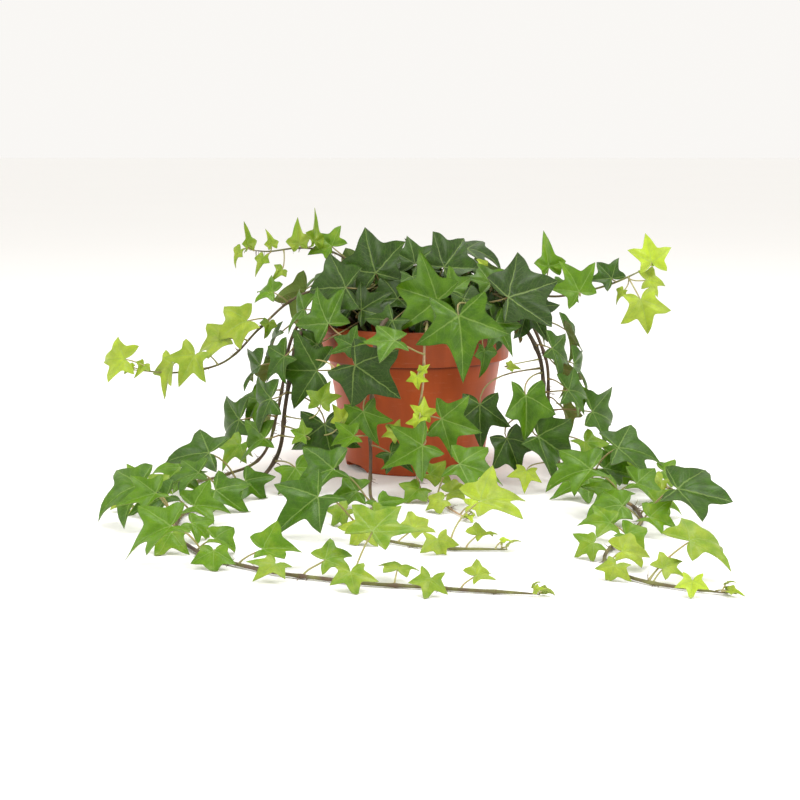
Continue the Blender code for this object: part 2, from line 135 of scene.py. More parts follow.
# The main leaves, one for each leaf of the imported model: name, stem, the point where stalk
# and blade meet, the way the tip points as hours on a clock seen from the front, how far
# the upper face turns to the right and upwards in degrees, the blade's length, age, kind.
MAIN_LEAVES = [
    ("crown_leaf_01", "crown_front_stem", (14, -65, 119), 9.7, -8, 16, 38, 0.62, "star"),
    ("crown_leaf_02", "right_trailing_stem", (27, -82, 111), 5.8, 10, 12, 42, 0.66, "star"),
    ("crown_leaf_03", "crown_right_stem", (19, -34, 138), 1.2, 6, 24, 30, 0.94, "broad"),
    ("crown_leaf_04", "crown_left_stem", (-26, -32, 134), 11.3, -12, 16, 34, 0.94, "broad"),
    ("crown_leaf_05", "crown_left_stem", (-45, -50, 126), 9.2, -26, 18, 34, 0.9, "broad"),
    ("crown_leaf_06", "front_trailing_stem", (-56, -64, 104), 10.8, -24, 18, 30, 0.66, "star"),
    ("crown_leaf_07", "front_trailing_stem", (-63, -74, 75), 9.0, -16, 8, 36, 0.86, "star"),
    ("crown_leaf_08", "front_trailing_stem", (-38, -100, 82), 4.1, -10, 8, 35, 1.0, "broad"),
    ("crown_leaf_09", "front_sprig_stem", (-13, -107, 98), 9.2, -4, 66, 27, 0.6, "star"),
    ("crown_leaf_10", "crown_right_stem", (60, -54, 120), 2.3, 18, 24, 40, 1.0, "broad"),
    ("crown_leaf_11", "crown_right_stem", (90, -14, 136), 11.8, 14, 12, 26, 0.46, "arrow"),
    ("crown_leaf_12", "crown_back_stem", (36, 12, 147), 3.4, 10, 72, 30, 1.0, "star"),
    ("crown_leaf_13", "right_arching_stem", (109, -26, 121), 11.3, 12, 8, 26, 0.48, "star"),
    ("crown_leaf_14", "crown_back_stem", (-40, 44, 130), 9.4, -140, 40, 36, 0.85, "star"),
    ("crown_leaf_15", "crown_back_stem", (-4, 66, 124), 6.4, 178, 34, 40, 0.8, "star"),
    ("crown_leaf_16", "crown_back_stem", (44, 54, 124), 4.4, 140, 34, 38, 0.88, "broad"),
    ("crown_leaf_17", "upper_left_stem", (-76, 34, 118), 7.0, -120, 30, 32, 0.7, "star"),
    ("crown_leaf_18", "crown_right_stem", (78, 34, 110), 4.2, 96, 34, 36, 0.8, "star"),
    ("pot_front_leaf_01", "front_trailing_stem", (-33, -95, 52), 5.4, -8, 10, 24, 0.62, "star"),
    ("pot_front_leaf_02", "left_trailing_stem", (-58, -84, 42), 5.6, -14, 12, 34, 0.92, "star"),
    ("pot_front_leaf_03", "front_sprig_stem", (4, -110, 33), 7.8, 0, 28, 30, 0.58, "star"),
    ("pot_front_leaf_04", "front_sprig_stem", (16, -100, 48), 3.6, -14, 14, 28, 0.6, "star"),
    ("pot_front_leaf_05", "right_trailing_stem", (41, -80, 54), 6.1, 12, 6, 30, 0.92, "star"),
    ("pot_front_leaf_06", "right_trailing_stem", (70, -82, 60), 6.1, 18, 20, 30, 0.64, "broad"),
    ("left_arch_leaf_01", "left_arching_stem", (-112, -28, 102), 8.2, -10, 30, 24, 0.22, "broad"),
    ("left_arch_leaf_02", "left_arching_stem", (-146, -34, 80), 6.8, -10, 26, 24, 0.24, "star"),
    ("left_arch_leaf_03", "left_arching_stem", (-194, -26, 76), 9.2, -6, 24, 24, 0.16, "star"),
    ("right_arch_leaf_01", "right_arching_stem", (158, -18, 140), 11.8, 8, 16, 22, 0.06, "star"),
    ("right_arch_leaf_02", "right_arching_stem", (150, -26, 116), 5.6, 8, 20, 26, 0.16, "star"),
    ("left_trail_leaf_01", "left_trailing_stem", (-130, -98, 26), 9.4, -16, 56, 34, 0.82, "star"),
    ("left_trail_leaf_02", "left_trailing_stem", (-160, -186, 24), 8.4, -20, 56, 34, 0.64, "star"),
    ("left_trail_leaf_03", "left_trailing_stem", (-130, -270, 20), 7.8, -10, 60, 30, 0.5, "star"),
    ("left_trail_leaf_04", "left_trailing_stem", (-24, -298, 24), 12.6, 4, 60, 28, 0.36, "star"),
    ("right_trail_leaf_01", "right_trailing_stem", (128, -92, 28), 2.6, 18, 56, 34, 0.8, "star"),
    ("right_trail_leaf_02", "right_trailing_stem", (104, -150, 26), 8.6, -4, 56, 32, 0.58, "star"),
    ("right_trail_leaf_03", "right_trailing_stem", (148, -196, 24), 3.4, 16, 56, 34, 0.86, "broad"),
    ("right_trail_leaf_04", "right_trailing_stem", (136, -302, 20), 1.6, 8, 60, 28, 0.3, "star"),
    ("front_trail_leaf_01", "front_trailing_stem", (-50, -150, 26), 8.4, -8, 54, 32, 0.7, "star"),
    ("front_trail_leaf_02", "front_trailing_stem", (-56, -208, 22), 7.2, -8, 50, 35, 0.74, "star"),
    ("front_trail_leaf_03", "front_trailing_stem", (34, -228, 24), 1.8, 8, 56, 30, 0.16, "star"),
    ("front_sprig_leaf_01", "front_sprig_stem", (26, -134, 26), 3.6, 6, 50, 31, 0.56, "star"),
    ("left_side_leaf_01", "left_side_stem", (-116, -44, 38), 8.8, -40, 24, 32, 0.85, "star"),
    ("right_side_leaf_01", "right_side_stem", (118, -36, 42), 3.2, 36, 22, 30, 0.78, "star"),
    ("back_drooping_leaf_01", "back_drooping_stem", (24, 102, 70), 5.6, 172, 20, 34, 0.8, "star"),
]

# The smaller leaves that hang, arch or crowd the crown, set out in the same way.
SMALL_LEAVES = {
    "upper_left_stem": [
        ((-78, 2, 150), 11.5, -20, 10, 21, 0.3, "arrow"), ((-75, 6, 151), 0.8, 60, 6, 24, 0.34, "arrow"),
        ((-57, 6, 150), 10.6, -20, 34, 22, 0.44, "star"), ((-97, 0, 150), 11.8, 30, 20, 13, 0.24, "arrow"),
        ((-113, -2, 150), 11.9, 50, 8, 17, 0.3, "arrow"), ((-117, -2, 147), 7.4, -40, 20, 14, 0.24, "arrow"),
        ((-102, -4, 143), 6.6, -30, 24, 15, 0.3, "arrow"), ((-90, 0, 134), 7.6, 40, 30, 13, 0.3, "arrow"),
    ],
    "left_arching_stem": [
        ((-95, -16, 120), 10.2, -26, 40, 18, 0.5, "star"), ((-98, -18, 100), 6.4, 24, 30, 14, 0.34, "arrow"),
        ((-128, -24, 92), 8.6, -20, 50, 23, 0.22, "broad"), ((-166, -26, 74), 6.2, -56, 20, 25, 0.2, "star"),
        ((-152, -16, 74), 11.2, 20, 50, 12, 0.3, "arrow"), ((-182, -22, 72), 7.2, 30, 30, 13, 0.22, "arrow"),
    ],
    "right_arching_stem": [
        ((132, -15, 129), 10.8, -8, 26, 20, 0.9, "star"), ((155, -16, 128), 3.0, 12, 30, 16, 0.16, "star"),
        ((112, -20, 116), 7.4, 4, 128, 24, 0.34, "star"), ((96, -16, 124), 4.6, 30, 60, 18, 0.6, "star"),
        ((140, -15, 121), 7.2, -30, 30, 11, 0.2, "arrow"),
    ],
    "crown_left_stem": [
        ((-35, -54, 112), 1.8, -12, 26, 25, 0.98, "star"), ((-40, -40, 110), 10.6, -30, 24, 26, 0.9, "broad"),
        ((-72, -38, 110), 9.4, -50, 24, 24, 0.64, "star"), ((-64, -58, 90), 8.2, -36, 8, 25, 0.84, "broad"),
        ((-60, -20, 126), 9.8, -70, 48, 30, 0.8, "star"), ((-34, -14, 138), 11.0, -30, 62, 28, 0.86, "star"),
        ((-48, 14, 130), 10.0, -110, 60, 28, 0.8, "star"),
    ],
    "crown_front_stem": [
        ((0, -12, 139), 11.8, 0, 34, 25, 0.86, "star"), ((-12, -46, 122), 9.0, -6, 40, 26, 0.94, "broad"),
        ((24, -50, 124), 1.4, 10, 40, 22, 0.6, "star"), ((-14, -62, 104), 7.0, -10, 30, 24, 0.9, "star"),
        ((4, -60, 106), 4.4, 8, 34, 22, 0.84, "star"),
    ],
    "crown_right_stem": [
        ((46, -10, 137), 11.0, 8, 24, 9, 0.1, "arrow"), ((50, -34, 128), 11.6, 16, 44, 24, 0.6, "star"),
        ((74, -22, 122), 1.8, 40, 44, 28, 0.9, "star"), ((40, 8, 134), 1.0, 30, 64, 26, 0.84, "star"),
        ((62, 4, 124), 2.8, 70, 56, 28, 0.82, "star"), ((52, -60, 104), 5.0, 24, 20, 24, 0.7, "star"),
        ((74, -40, 112), 5.0, 20, 14, 28, 1.0, "star"),
    ],
    "crown_back_stem": [
        ((4, 24, 140), 12.4, 178, 66, 30, 0.84, "star"), ((-26, 30, 136), 10.4, -150, 62, 28, 0.76, "star"),
        ((26, 34, 134), 1.6, 150, 60, 28, 0.86, "star"), ((-24, 62, 116), 7.4, -166, 30, 28, 0.74, "star"),
        ((20, 66, 116), 5.0, 164, 30, 30, 0.86, "star"), ((-48, 52, 112), 8.4, -146, 30, 28, 0.8, "star"),
        ((56, 44, 112), 4.4, 128, 28, 28, 0.66, "star"), ((-64, 40, 100), 7.6, -124, 20, 26, 0.7, "star"),
        ((2, 78, 104), 6.0, 178, 16, 28, 0.9, "broad"), ((36, 70, 100), 5.4, 152, 14, 26, 0.76, "star"),
        ((-30, 74, 98), 6.8, -160, 14, 26, 0.84, "star"),
    ],
    "back_drooping_stem": [
        ((6, 98, 82), 7.4, -174, 24, 24, 0.74, "star"), ((4, 100, 48), 7.6, -170, 22, 24, 0.6, "star"),
        ((28, 98, 46), 4.6, 166, 24, 22, 0.5, "star"), ((18, 100, 30), 6.2, 176, 30, 18, 0.3, "arrow"),
    ],
    "left_trailing_stem": [
        ((-60, -90, 56), 12.3, -8, 24, 17, 0.36, "star"), ((-47, -96, 46), 12.8, -4, 20, 15, 0.14, "star"),
        ((-50, -92, 78), 5.0, -6, 30, 12, 0.1, "arrow"), ((-70, -92, 36), 9.8, -20, 26, 13, 0.4, "star"),
        ((-92, -82, 58), 8.8, -34, 20, 28, 0.86, "star"), ((-98, -84, 34), 9.0, -34, 34, 26, 0.6, "star"),
        ((-76, -96, 16), 5.0, -6, 40, 26, 0.52, "star"), ((-84, -72, 84), 8.0, -40, 16, 24, 0.8, "star"),
    ],
    "right_trailing_stem": [
        ((44, -68, 88), 6.1, 36, 4, 21, 0.7, "arrow"), ((60, -64, 76), 3.0, 20, 30, 10, 0.24, "arrow"),
        ((58, -80, 32), 5.2, 8, 12, 25, 0.94, "broad"), ((78, -84, 34), 4.0, 20, 16, 33, 0.84, "broad"),
        ((74, -86, 47), 2.6, 16, 10, 13, 0.14, "arrow"), ((98, -72, 62), 2.8, 34, 24, 24, 0.8, "star"),
        ((70, -96, 14), 6.4, 10, 50, 16, 0.12, "star"), ((88, -64, 88), 3.6, 40, 20, 24, 0.84, "star"),
    ],
    "front_trailing_stem": [
        ((-38, -96, 34), 8.6, -10, 34, 18, 0.5, "star"), ((-16, -98, 26), 4.6, 0, 40, 20, 0.86, "star"),
        ((-40, -82, 92), 10.2, -20, 30, 18, 0.8, "star"),
    ],
    "front_sprig_stem": [
        ((3, -93, 77), 1.6, 10, 20, 9, 0.06, "arrow"), ((1, -94, 74), 6.0, -10, 20, 10, 0.02, "star"),
        ((4, -94, 49), 0.4, 4, 10, 13, 0.04, "star"), ((2, -97, 47), 6.6, 0, 20, 11, 0.0, "star"),
        ((-12, -94, 37), 10.6, -10, 20, 13, 0.2, "star"), ((-4, -100, 30), 6.4, 0, 26, 11, 0.02, "star"),
        ((22, -102, 34), 2.2, 10, 40, 20, 0.4, "star"),
    ],
    "left_side_stem": [
        ((-98, -2, 66), 8.4, -110, 20, 24, 0.8, "star"), ((-100, -8, 40), 7.6, -124, 24, 22, 0.7, "star"),
        ((-102, -30, 72), 9.2, -64, 20, 26, 0.84, "star"), ((-104, -36, 50), 7.4, -50, 24, 24, 0.6, "star"),
        ((-94, -14, 92), 9.0, -80, 30, 26, 0.8, "star"), ((-112, -56, 20), 6.8, -30, 46, 22, 0.4, "star"),
    ],
    "right_side_stem": [
        ((100, 0, 66), 3.6, 110, 20, 24, 0.82, "star"), ((102, -6, 40), 4.4, 122, 24, 22, 0.72, "star"),
        ((104, -24, 72), 3.0, 66, 20, 26, 0.8, "star"), ((104, -34, 54), 4.6, 40, 20, 22, 0.56, "star"),
        ((98, -6, 92), 2.8, 86, 30, 26, 0.84, "star"), ((112, -48, 24), 5.0, 24, 44, 22, 0.4, "star"),
    ],
}

# Leaves along the stretches that lie on the floor: share of the stem where they start and
# end, space between leaf nodes, first and last length, first and last age.
FLOOR_RUNS = {
    "left_trailing_stem": (0.36, 0.97, 21, 28, 13, 0.7, 0.2),
    "right_trailing_stem": (0.4, 0.97, 21, 28, 13, 0.66, 0.12),
    "front_trailing_stem": (0.5, 0.96, 20, 24, 13, 0.6, 0.14),
    "front_sprig_stem": (0.66, 0.96, 17, 19, 12, 0.4, 0.04),
    "left_side_stem": (0.62, 0.96, 21, 25, 12, 0.6, 0.2),
    "right_side_stem": (0.62, 0.96, 21, 25, 12, 0.56, 0.14),
}

# Half of a blade's edge for each kind of leaf, as shares of its length from the heel:
# tip to side lobe, side lobe to heel lobe, heel lobe to the notch where the stalk joins.
EDGES = {
    "star": (
        [(0, 1), (0.10, 0.75), (0.18, 0.55), (0.25, 0.43), (0.37, 0.425), (0.53, 0.445), (0.73, 0.43)],
        [(0.73, 0.43), (0.58, 0.25), (0.46, 0.12), (0.385, 0.02), (0.41, -0.08), (0.44, -0.17),
         (0.43, -0.28)],
        [(0.43, -0.28), (0.30, -0.25), (0.18, -0.20), (0.08, -0.12), (0.03, -0.04), (0, 0)]),
    "broad": (
        [(0, 1), (0.14, 0.78), (0.23, 0.61), (0.32, 0.51), (0.43, 0.5), (0.57, 0.49), (0.73, 0.43)],
        [(0.73, 0.43), (0.61, 0.26), (0.52, 0.13), (0.46, 0.02), (0.465, -0.08), (0.46, -0.18),
         (0.42, -0.28)],
        [(0.42, -0.28), (0.30, -0.25), (0.18, -0.20), (0.08, -0.12), (0.03, -0.04), (0, 0)]),
    "arrow": (
        [(0, 1), (0.08, 0.74), (0.14, 0.52), (0.19, 0.34), (0.26, 0.28), (0.35, 0.24), (0.46, 0.16)],
        [(0.46, 0.16), (0.39, 0.07), (0.33, 0.0), (0.29, -0.05), (0.28, -0.10), (0.27, -0.14),
         (0.25, -0.19)],
        [(0.25, -0.19), (0.19, -0.175), (0.12, -0.135), (0.06, -0.08), (0.025, -0.03), (0, 0)]),
}
LOBE_TIPS = [run[0] for run in EDGES["star"]]
BLADE_MIDDLE = (0.0, 0.12)

Leaf = namedtuple("Leaf", "name stem heel axes length age kind")
Form = namedtuple("Form", "fold bend droop wave turns phase curl swing twist left right "
                          "lean sweep_left sweep_right")


def linear(code):
    """An sRGB hex colour as the linear values that Blender's sockets take."""
    found = []
    for start in (1, 3, 5):
        level = int(code[start:start + 2], 16) / 255
        found.append(level / 12.92 if level <= 0.04045 else ((level + 0.055) / 1.055) ** 2.4)
    return tuple(found)


def length_of(name, description, default):
    return FloatProperty(name=name, description=description, default=default * MM, min=0.0,
                         subtype="DISTANCE", unit="LENGTH", precision=4)


def share_of(name, description, default):
    return FloatProperty(name=name, description=description, default=default, min=0.0, max=1.0,
                         subtype="FACTOR")


def colour_of(name, description, code):
    return FloatVectorProperty(name=name, description=description, default=linear(code),
                               subtype="COLOR", size=3, min=0.0, max=1.0)


POT_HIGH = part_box("pot")[1]


class IvyPotSettings(bpy.types.PropertyGroup):
    """Sizes and colours of the pot and the compost in it."""
    height: length_of("Height", "From the foot to the rim", POT_HIGH[2] / MM)
    rim_radius: length_of("Rim radius", "Outside radius at the rim", POT_HIGH[0] / MM)
    collar_height: length_of("Collar height", "Height of the upright collar", 23.0)
    collar_draft: length_of("Collar draft", "How far the collar narrows downwards", 0.8)
    neck_radius: length_of("Neck radius", "Outside radius just under the collar", 58.8)
    base_radius: length_of("Base radius", "Outside radius at the foot", 47.0)
    wall: length_of("Wall", "Thickness of the wall", 1.6)
    lip: length_of("Lip", "Thickness of the rim's lip", 2.4)
    plastic: colour_of("Plastic", "The moulded plastic", "#bd521e")
    plastic_deep: colour_of("Deep plastic", "Where the plastic is thicker and darker", "#9a4116")
    scuff: colour_of("Scuff", "Fine scuffs and lime marks", "#cf8d69")
    soil_level: length_of("Compost level", "Height of the compost's surface", 82.6)
    peat: colour_of("Peat", "Moist peat", "#2b1c13")
    peat_dry: colour_of("Dry peat", "Crumbs that have dried", "#5d4331")
    bark: colour_of("Bark", "Chips of composted bark", "#6f4a2d")
    grit: colour_of("Perlite", "White grains of perlite", "#e6e1d6")


class IvyLeafSettings(bpy.types.PropertyGroup):
    """Sizes and colours of the leaves."""
    thickness: length_of("Thickness", "Thickness of a blade", 0.36)
    stalk_radius: length_of("Stalk radius", "Radius of a leaf stalk at mid length", 0.55)
    bud: colour_of("Bud", "A leaf that has just opened", "#a9bf2e")
    young: colour_of("Young", "A leaf in its first weeks", "#8fa030")
    growing: colour_of("Growing", "A leaf that is still growing", "#5a8008")
    grown: colour_of("Grown", "A full-grown leaf", "#3a5e02")
    old: colour_of("Old", "An old, dark leaf", "#283f0e")
    vein: colour_of("Vein", "The pale main veins", "#8aa253")
    margin: colour_of("Margin", "The darker edge of an old leaf", "#2b3a14")
    under_young: colour_of("Young underside", "Back of a young leaf", "#97a44c")
    under_old: colour_of("Old underside", "Back of an old leaf", "#6f8348")
    stalk_young: colour_of("Young stalk", "Stalk of a young leaf", "#a9a668")
    stalk_old: colour_of("Old stalk", "Stalk of an old leaf", "#7a7340")


class IvyStemSettings(bpy.types.PropertyGroup):
    """Sizes and colours of the stems."""
    node_spacing: length_of("Node spacing", "Space between the stem's nodes", 24.0)
    swelling: share_of("Swelling", "How much thicker a node is than the stem", 0.28)
    shoot: colour_of("Shoot", "Skin of a stem that has just grown", "#b79a78")
    green: colour_of("Green stem", "Skin of a young stem", "#8a8f4c")
    brown: colour_of("Brown stem", "Bark of an old stem", "#453c2a")
    flush: colour_of("Flush", "Reddish flush on the bark", "#5e4a3a")
    air_root: colour_of("Air root", "Short clinging roots", "#7a6246")
    roots_per_node: IntProperty(name="Roots per node", description="Air roots at each node",
                                default=7, min=0, max=30)


class IvyStageSettings(bpy.types.PropertyGroup):
    """The floor, the lights and the camera."""
    floor: colour_of("Floor", "Plain pale floor", "#fefdfb")
    sky: colour_of("Surround", "Soft light from all round", "#fffdfa")
    sky_strength: FloatProperty(name="Surround strength", description="Strength of the soft light "
                                "from all round", default=0.95, min=0.0)
    left_power: FloatProperty(name="Left power", description="Power of the softbox on the left",
                              default=8.0, min=0.0, unit="POWER")
    right_power: FloatProperty(name="Right power", description="Power of the softbox on the right",
                               default=12.0, min=0.0, unit="POWER")
    top_power: FloatProperty(name="Top power", description="Power of the softbox overhead",
                             default=9.0, min=0.0, unit="POWER")
    distance: FloatProperty(name="Distance", description="Camera to the plant", default=1.0,
                            min=0.1, subtype="DISTANCE", unit="LENGTH")
    elevation: FloatProperty(name="Elevation", description="How far the camera looks down",
                             default=math.radians(9), subtype="ANGLE")
    lens: FloatProperty(name="Lens", description="Focal length of the camera", default=72.0,
                        min=1.0, subtype="DISTANCE_CAMERA")


# ---------------------------------------------------------------------------------------
# Materials


def add_node(tree, kind, inputs=None, output=0, **settings):
    """Adds a shader node with its settings, values and links, and returns one output."""
    node = tree.nodes.new("ShaderNode" + kind)
    stops = settings.pop("stops", None)
    for key, value in settings.items():
        setattr(node, key, value)
    if stops:
        ramp = node.color_ramp.elements
        while len(ramp) < len(stops):
            ramp.new(0.5)
        for element, (place, colour) in zip(ramp, stops):
            element.position = place
            element.color = (*colour, 1.0)
    for socket, value in (inputs or {}).items():
        if isinstance(value, bpy.types.NodeSocket):
            tree.links.new(value, node.inputs[socket])
        else:
            node.inputs[socket].default_value = value
    return node.outputs[output]


def mix_colours(tree, share, first, second, blend="MIX"):
    """Sockets 0, 6 and 7 of a colour Mix are its share and its two colours."""
    first = first if isinstance(first, bpy.types.NodeSocket) else (*first, 1.0)
    second = second if isinstance(second, bpy.types.NodeSocket) else (*second, 1.0)
    return add_node(tree, "Mix", {0: share, 6: first, 7: second}, output=2, data_type="RGBA",
                    blend_type=blend)


def new_material(name):
    """A material with an empty tree but for its output, and the tree."""
    material = bpy.data.materials.new(name)
    material.use_nodes = True
    material.node_tree.nodes.clear()
    return material, material.node_tree


def finish_material(tree, inputs):
    shader = add_node(tree, "BsdfPrincipled", inputs)
    result = tree.nodes.new("ShaderNodeOutputMaterial")
    tree.links.new(shader, result.inputs["Surface"])


def vein_lines(tree, wobble):
    """The blade's flat coordinates, how much of a main vein there is at a point and how
    much of a side vein. Each lobe has a main vein; side veins leave it slantwise."""
    flat = add_node(tree, "UVMap", uv_map="flat")
    nudge = add_node(tree, "VectorMath", {0: wobble, 1: (0.5, 0.5, 0.5)}, operation="SUBTRACT")
    nudge = add_node(tree, "VectorMath", {0: nudge, 3: 0.035}, operation="SCALE")
    shaken = add_node(tree, "VectorMath", {0: flat, 1: nudge}, operation="ADD")
    axes = [add_node(tree, "SeparateXYZ", {0: shaken}, output=k) for k in (0, 1)]
    folded = add_node(tree, "Math", {0: axes[0]}, operation="ABSOLUTE")
    half = add_node(tree, "CombineXYZ", {0: folded, 1: axes[1]})
    nearest = along = None
    for tip in LOBE_TIPS:
        reach = Vector(tip).length
        ahead = Vector((tip[0], tip[1], 0)) / reach
        across = Vector((ahead.y, -ahead.x, 0))
        forward = add_node(tree, "VectorMath", {0: half, 1: ahead}, output=1,
                           operation="DOT_PRODUCT")
        aside = add_node(tree, "VectorMath", {0: half, 1: across}, output=1,
                         operation="DOT_PRODUCT")
        aside = add_node(tree, "Math", {0: aside}, operation="ABSOLUTE")
        behind = add_node(tree, "Math", {0: forward, 1: 0.0}, operation="LESS_THAN")
        aside = add_node(tree, "Math", {0: aside, 1: behind}, operation="ADD")
        forward = add_node(tree, "Math", {0: forward, 1: 1 / reach}, operation="MULTIPLY")
        if nearest is None:
            nearest, along = aside, forward
            continue
        nearer = add_node(tree, "Math", {0: aside, 1: nearest}, operation="LESS_THAN")
        along = add_node(tree, "Mix", {0: nearer, 2: along, 3: forward})
        nearest = add_node(tree, "Math", {0: aside, 1: nearest}, operation="MINIMUM")
    width = add_node(tree, "MapRange", {"Value": along, "To Min": 0.013, "To Max": 0.003})
    main = add_node(tree, "Math", {0: nearest, 1: width}, operation="DIVIDE")
    main = add_node(tree, "MapRange", {"Value": main, "From Min": 0.5, "From Max": 1.6,
                                       "To Min": 1.0, "To Max": 0.0},
                    interpolation_type="SMOOTHSTEP")
    slant = add_node(tree, "Math", {0: nearest, 1: -1.1, 2: along}, operation="MULTIPLY_ADD")
    step = add_node(tree, "Math", {0: slant, 1: 0.085}, operation="PINGPONG")
    side = add_node(tree, "MapRange", {"Value": step, "From Min": 0.003, "From Max": 0.013,
                                       "To Min": 1.0, "To Max": 0.0},
                    interpolation_type="SMOOTHSTEP")
    fade = add_node(tree, "MapRange", {"Value": nearest, "From Max": 0.2, "To Min": 0.8,
                                       "To Max": 0.1})
    return flat, main, add_node(tree, "Math", {0: side, 1: fade}, operation="MULTIPLY")


def leaf_material(name, looks, stops, vein, relief, roughness, vein_strength):
    """Ivy leaf skin. The cuticle is a thin wax, so it shines softly and evenly; between the
    veins the blade is darker and slightly quilted, and old blades are darker at the edge."""
    material, tree = new_material(name)
    size = add_node(tree, "Attribute", attribute_name="leaf_mm", output="Fac")
    age = add_node(tree, "Attribute", attribute_name="age", output="Fac")
    rim = add_node(tree, "Attribute", attribute_name="rim", output="Fac")
    place = add_node(tree, "TexCoord", output="Object")
    wobble = add_node(tree, "TexNoise", {"Vector": place, "Scale": 260.0, "Detail": 2.0},
                      output="Color")
    flat, main, side = vein_lines(tree, wobble)
    # The net between the veins, its cells about 2 mm wide.
    real = add_node(tree, "VectorMath", {0: flat, 3: size}, operation="SCALE")
    shaken = add_node(tree, "VectorMath", {0: real, 1: wobble}, operation="ADD")
    net = add_node(tree, "TexVoronoi", {"Vector": shaken, "Scale": 1 / 2.2}, output="Distance",
                   feature="DISTANCE_TO_EDGE")
    net = add_node(tree, "MapRange", {"Value": net, "From Min": 0.0, "From Max": 0.12,
                                      "To Min": 1.0, "To Max": 0.0},
                   interpolation_type="SMOOTHSTEP")
    patches = add_node(tree, "TexNoise", {"Vector": place, "Scale": 140.0, "Detail": 3.0})
    specks = add_node(tree, "TexNoise", {"Vector": place, "Scale": 1500.0, "Detail": 2.0})
    shift = add_node(tree, "MapRange", {"Value": patches, "From Min": 0.3, "From Max": 0.7,
                                        "To Min": -0.09, "To Max": 0.09})
    aged = add_node(tree, "Math", {0: age, 1: shift}, operation="ADD", use_clamp=True)
    colour = add_node(tree, "ValToRGB", {"Fac": aged}, stops=stops)
    bright = add_node(tree, "MapRange", {"Value": specks, "From Min": 0.3, "From Max": 0.7,
                                         "To Min": 0.9, "To Max": 1.08})
    colour = add_node(tree, "VectorMath", {0: colour, 3: bright}, operation="SCALE")
    for lines, strength in ((net, 0.05), (side, 0.16), (main, 0.42)):
        share = add_node(tree, "Math", {0: lines, 1: strength * vein_strength},
                         operation="MULTIPLY")
        colour = mix_colours(tree, share, colour, vein)
    edge = add_node(tree, "MapRange", {"Value": rim, "From Min": 0.955, "From Max": 1.0})
    edge = add_node(tree, "Math", {0: edge, 1: age}, operation="MULTIPLY")
    edge = add_node(tree, "Math", {0: edge, 1: 0.7}, operation="MULTIPLY")
    colour = mix_colours(tree, edge, colour, tuple(looks.margin))
    gloss = add_node(tree, "MapRange", {"Value": patches, "From Min": 0.3, "From Max": 0.7,
                                        "To Min": roughness - 0.06, "To Max": roughness + 0.08})
    raised = add_node(tree, "Math", {0: side, 1: main}, operation="MAXIMUM")
    raised = add_node(tree, "Math", {0: net, 1: 0.4, 2: raised}, operation="MULTIPLY_ADD")
    bump = add_node(tree, "Bump", {"Height": raised, "Strength": abs(relief),
                                   "Distance": 0.15 * MM}, invert=relief < 0)
    finish_material(tree, {"Base Color": colour, "Roughness": gloss, "IOR": 1.45,
                           "Specular IOR Level": 0.3, "Subsurface Weight": 0.12,
                           "Subsurface Scale": 1.5 * MM, "Subsurface Radius": (0.6, 1.0, 0.2),
                           "Normal": bump})
    return material


def stalk_material(looks):
    """Leaf stalk: smooth living skin, pale where young, flushed and darker where old."""
    material, tree = new_material("ivy_leaf_stalk_skin")
    age = add_node(tree, "Attribute", attribute_name="age", output="Fac")
    place = add_node(tree, "TexCoord", output="Object")
    blotch = add_node(tree, "TexNoise", {"Vector": place, "Scale": 260.0, "Detail": 3.0})
    colour = mix_colours(tree, age, looks.stalk_young, looks.stalk_old)
    flushed = add_node(tree, "MapRange", {"Value": blotch, "From Min": 0.5, "From Max": 0.75,
                                          "To Min": 0.0, "To Max": 0.55})
    colour = mix_colours(tree, flushed, colour, linear("#a5695a"))
    rough = add_node(tree, "MapRange", {"Value": blotch, "To Min": 0.38, "To Max": 0.55})
    finish_material(tree, {"Base Color": colour, "Roughness": rough, "IOR": 1.45,
                           "Subsurface Weight": 0.08, "Subsurface Scale": 1.0 * MM})
    return material


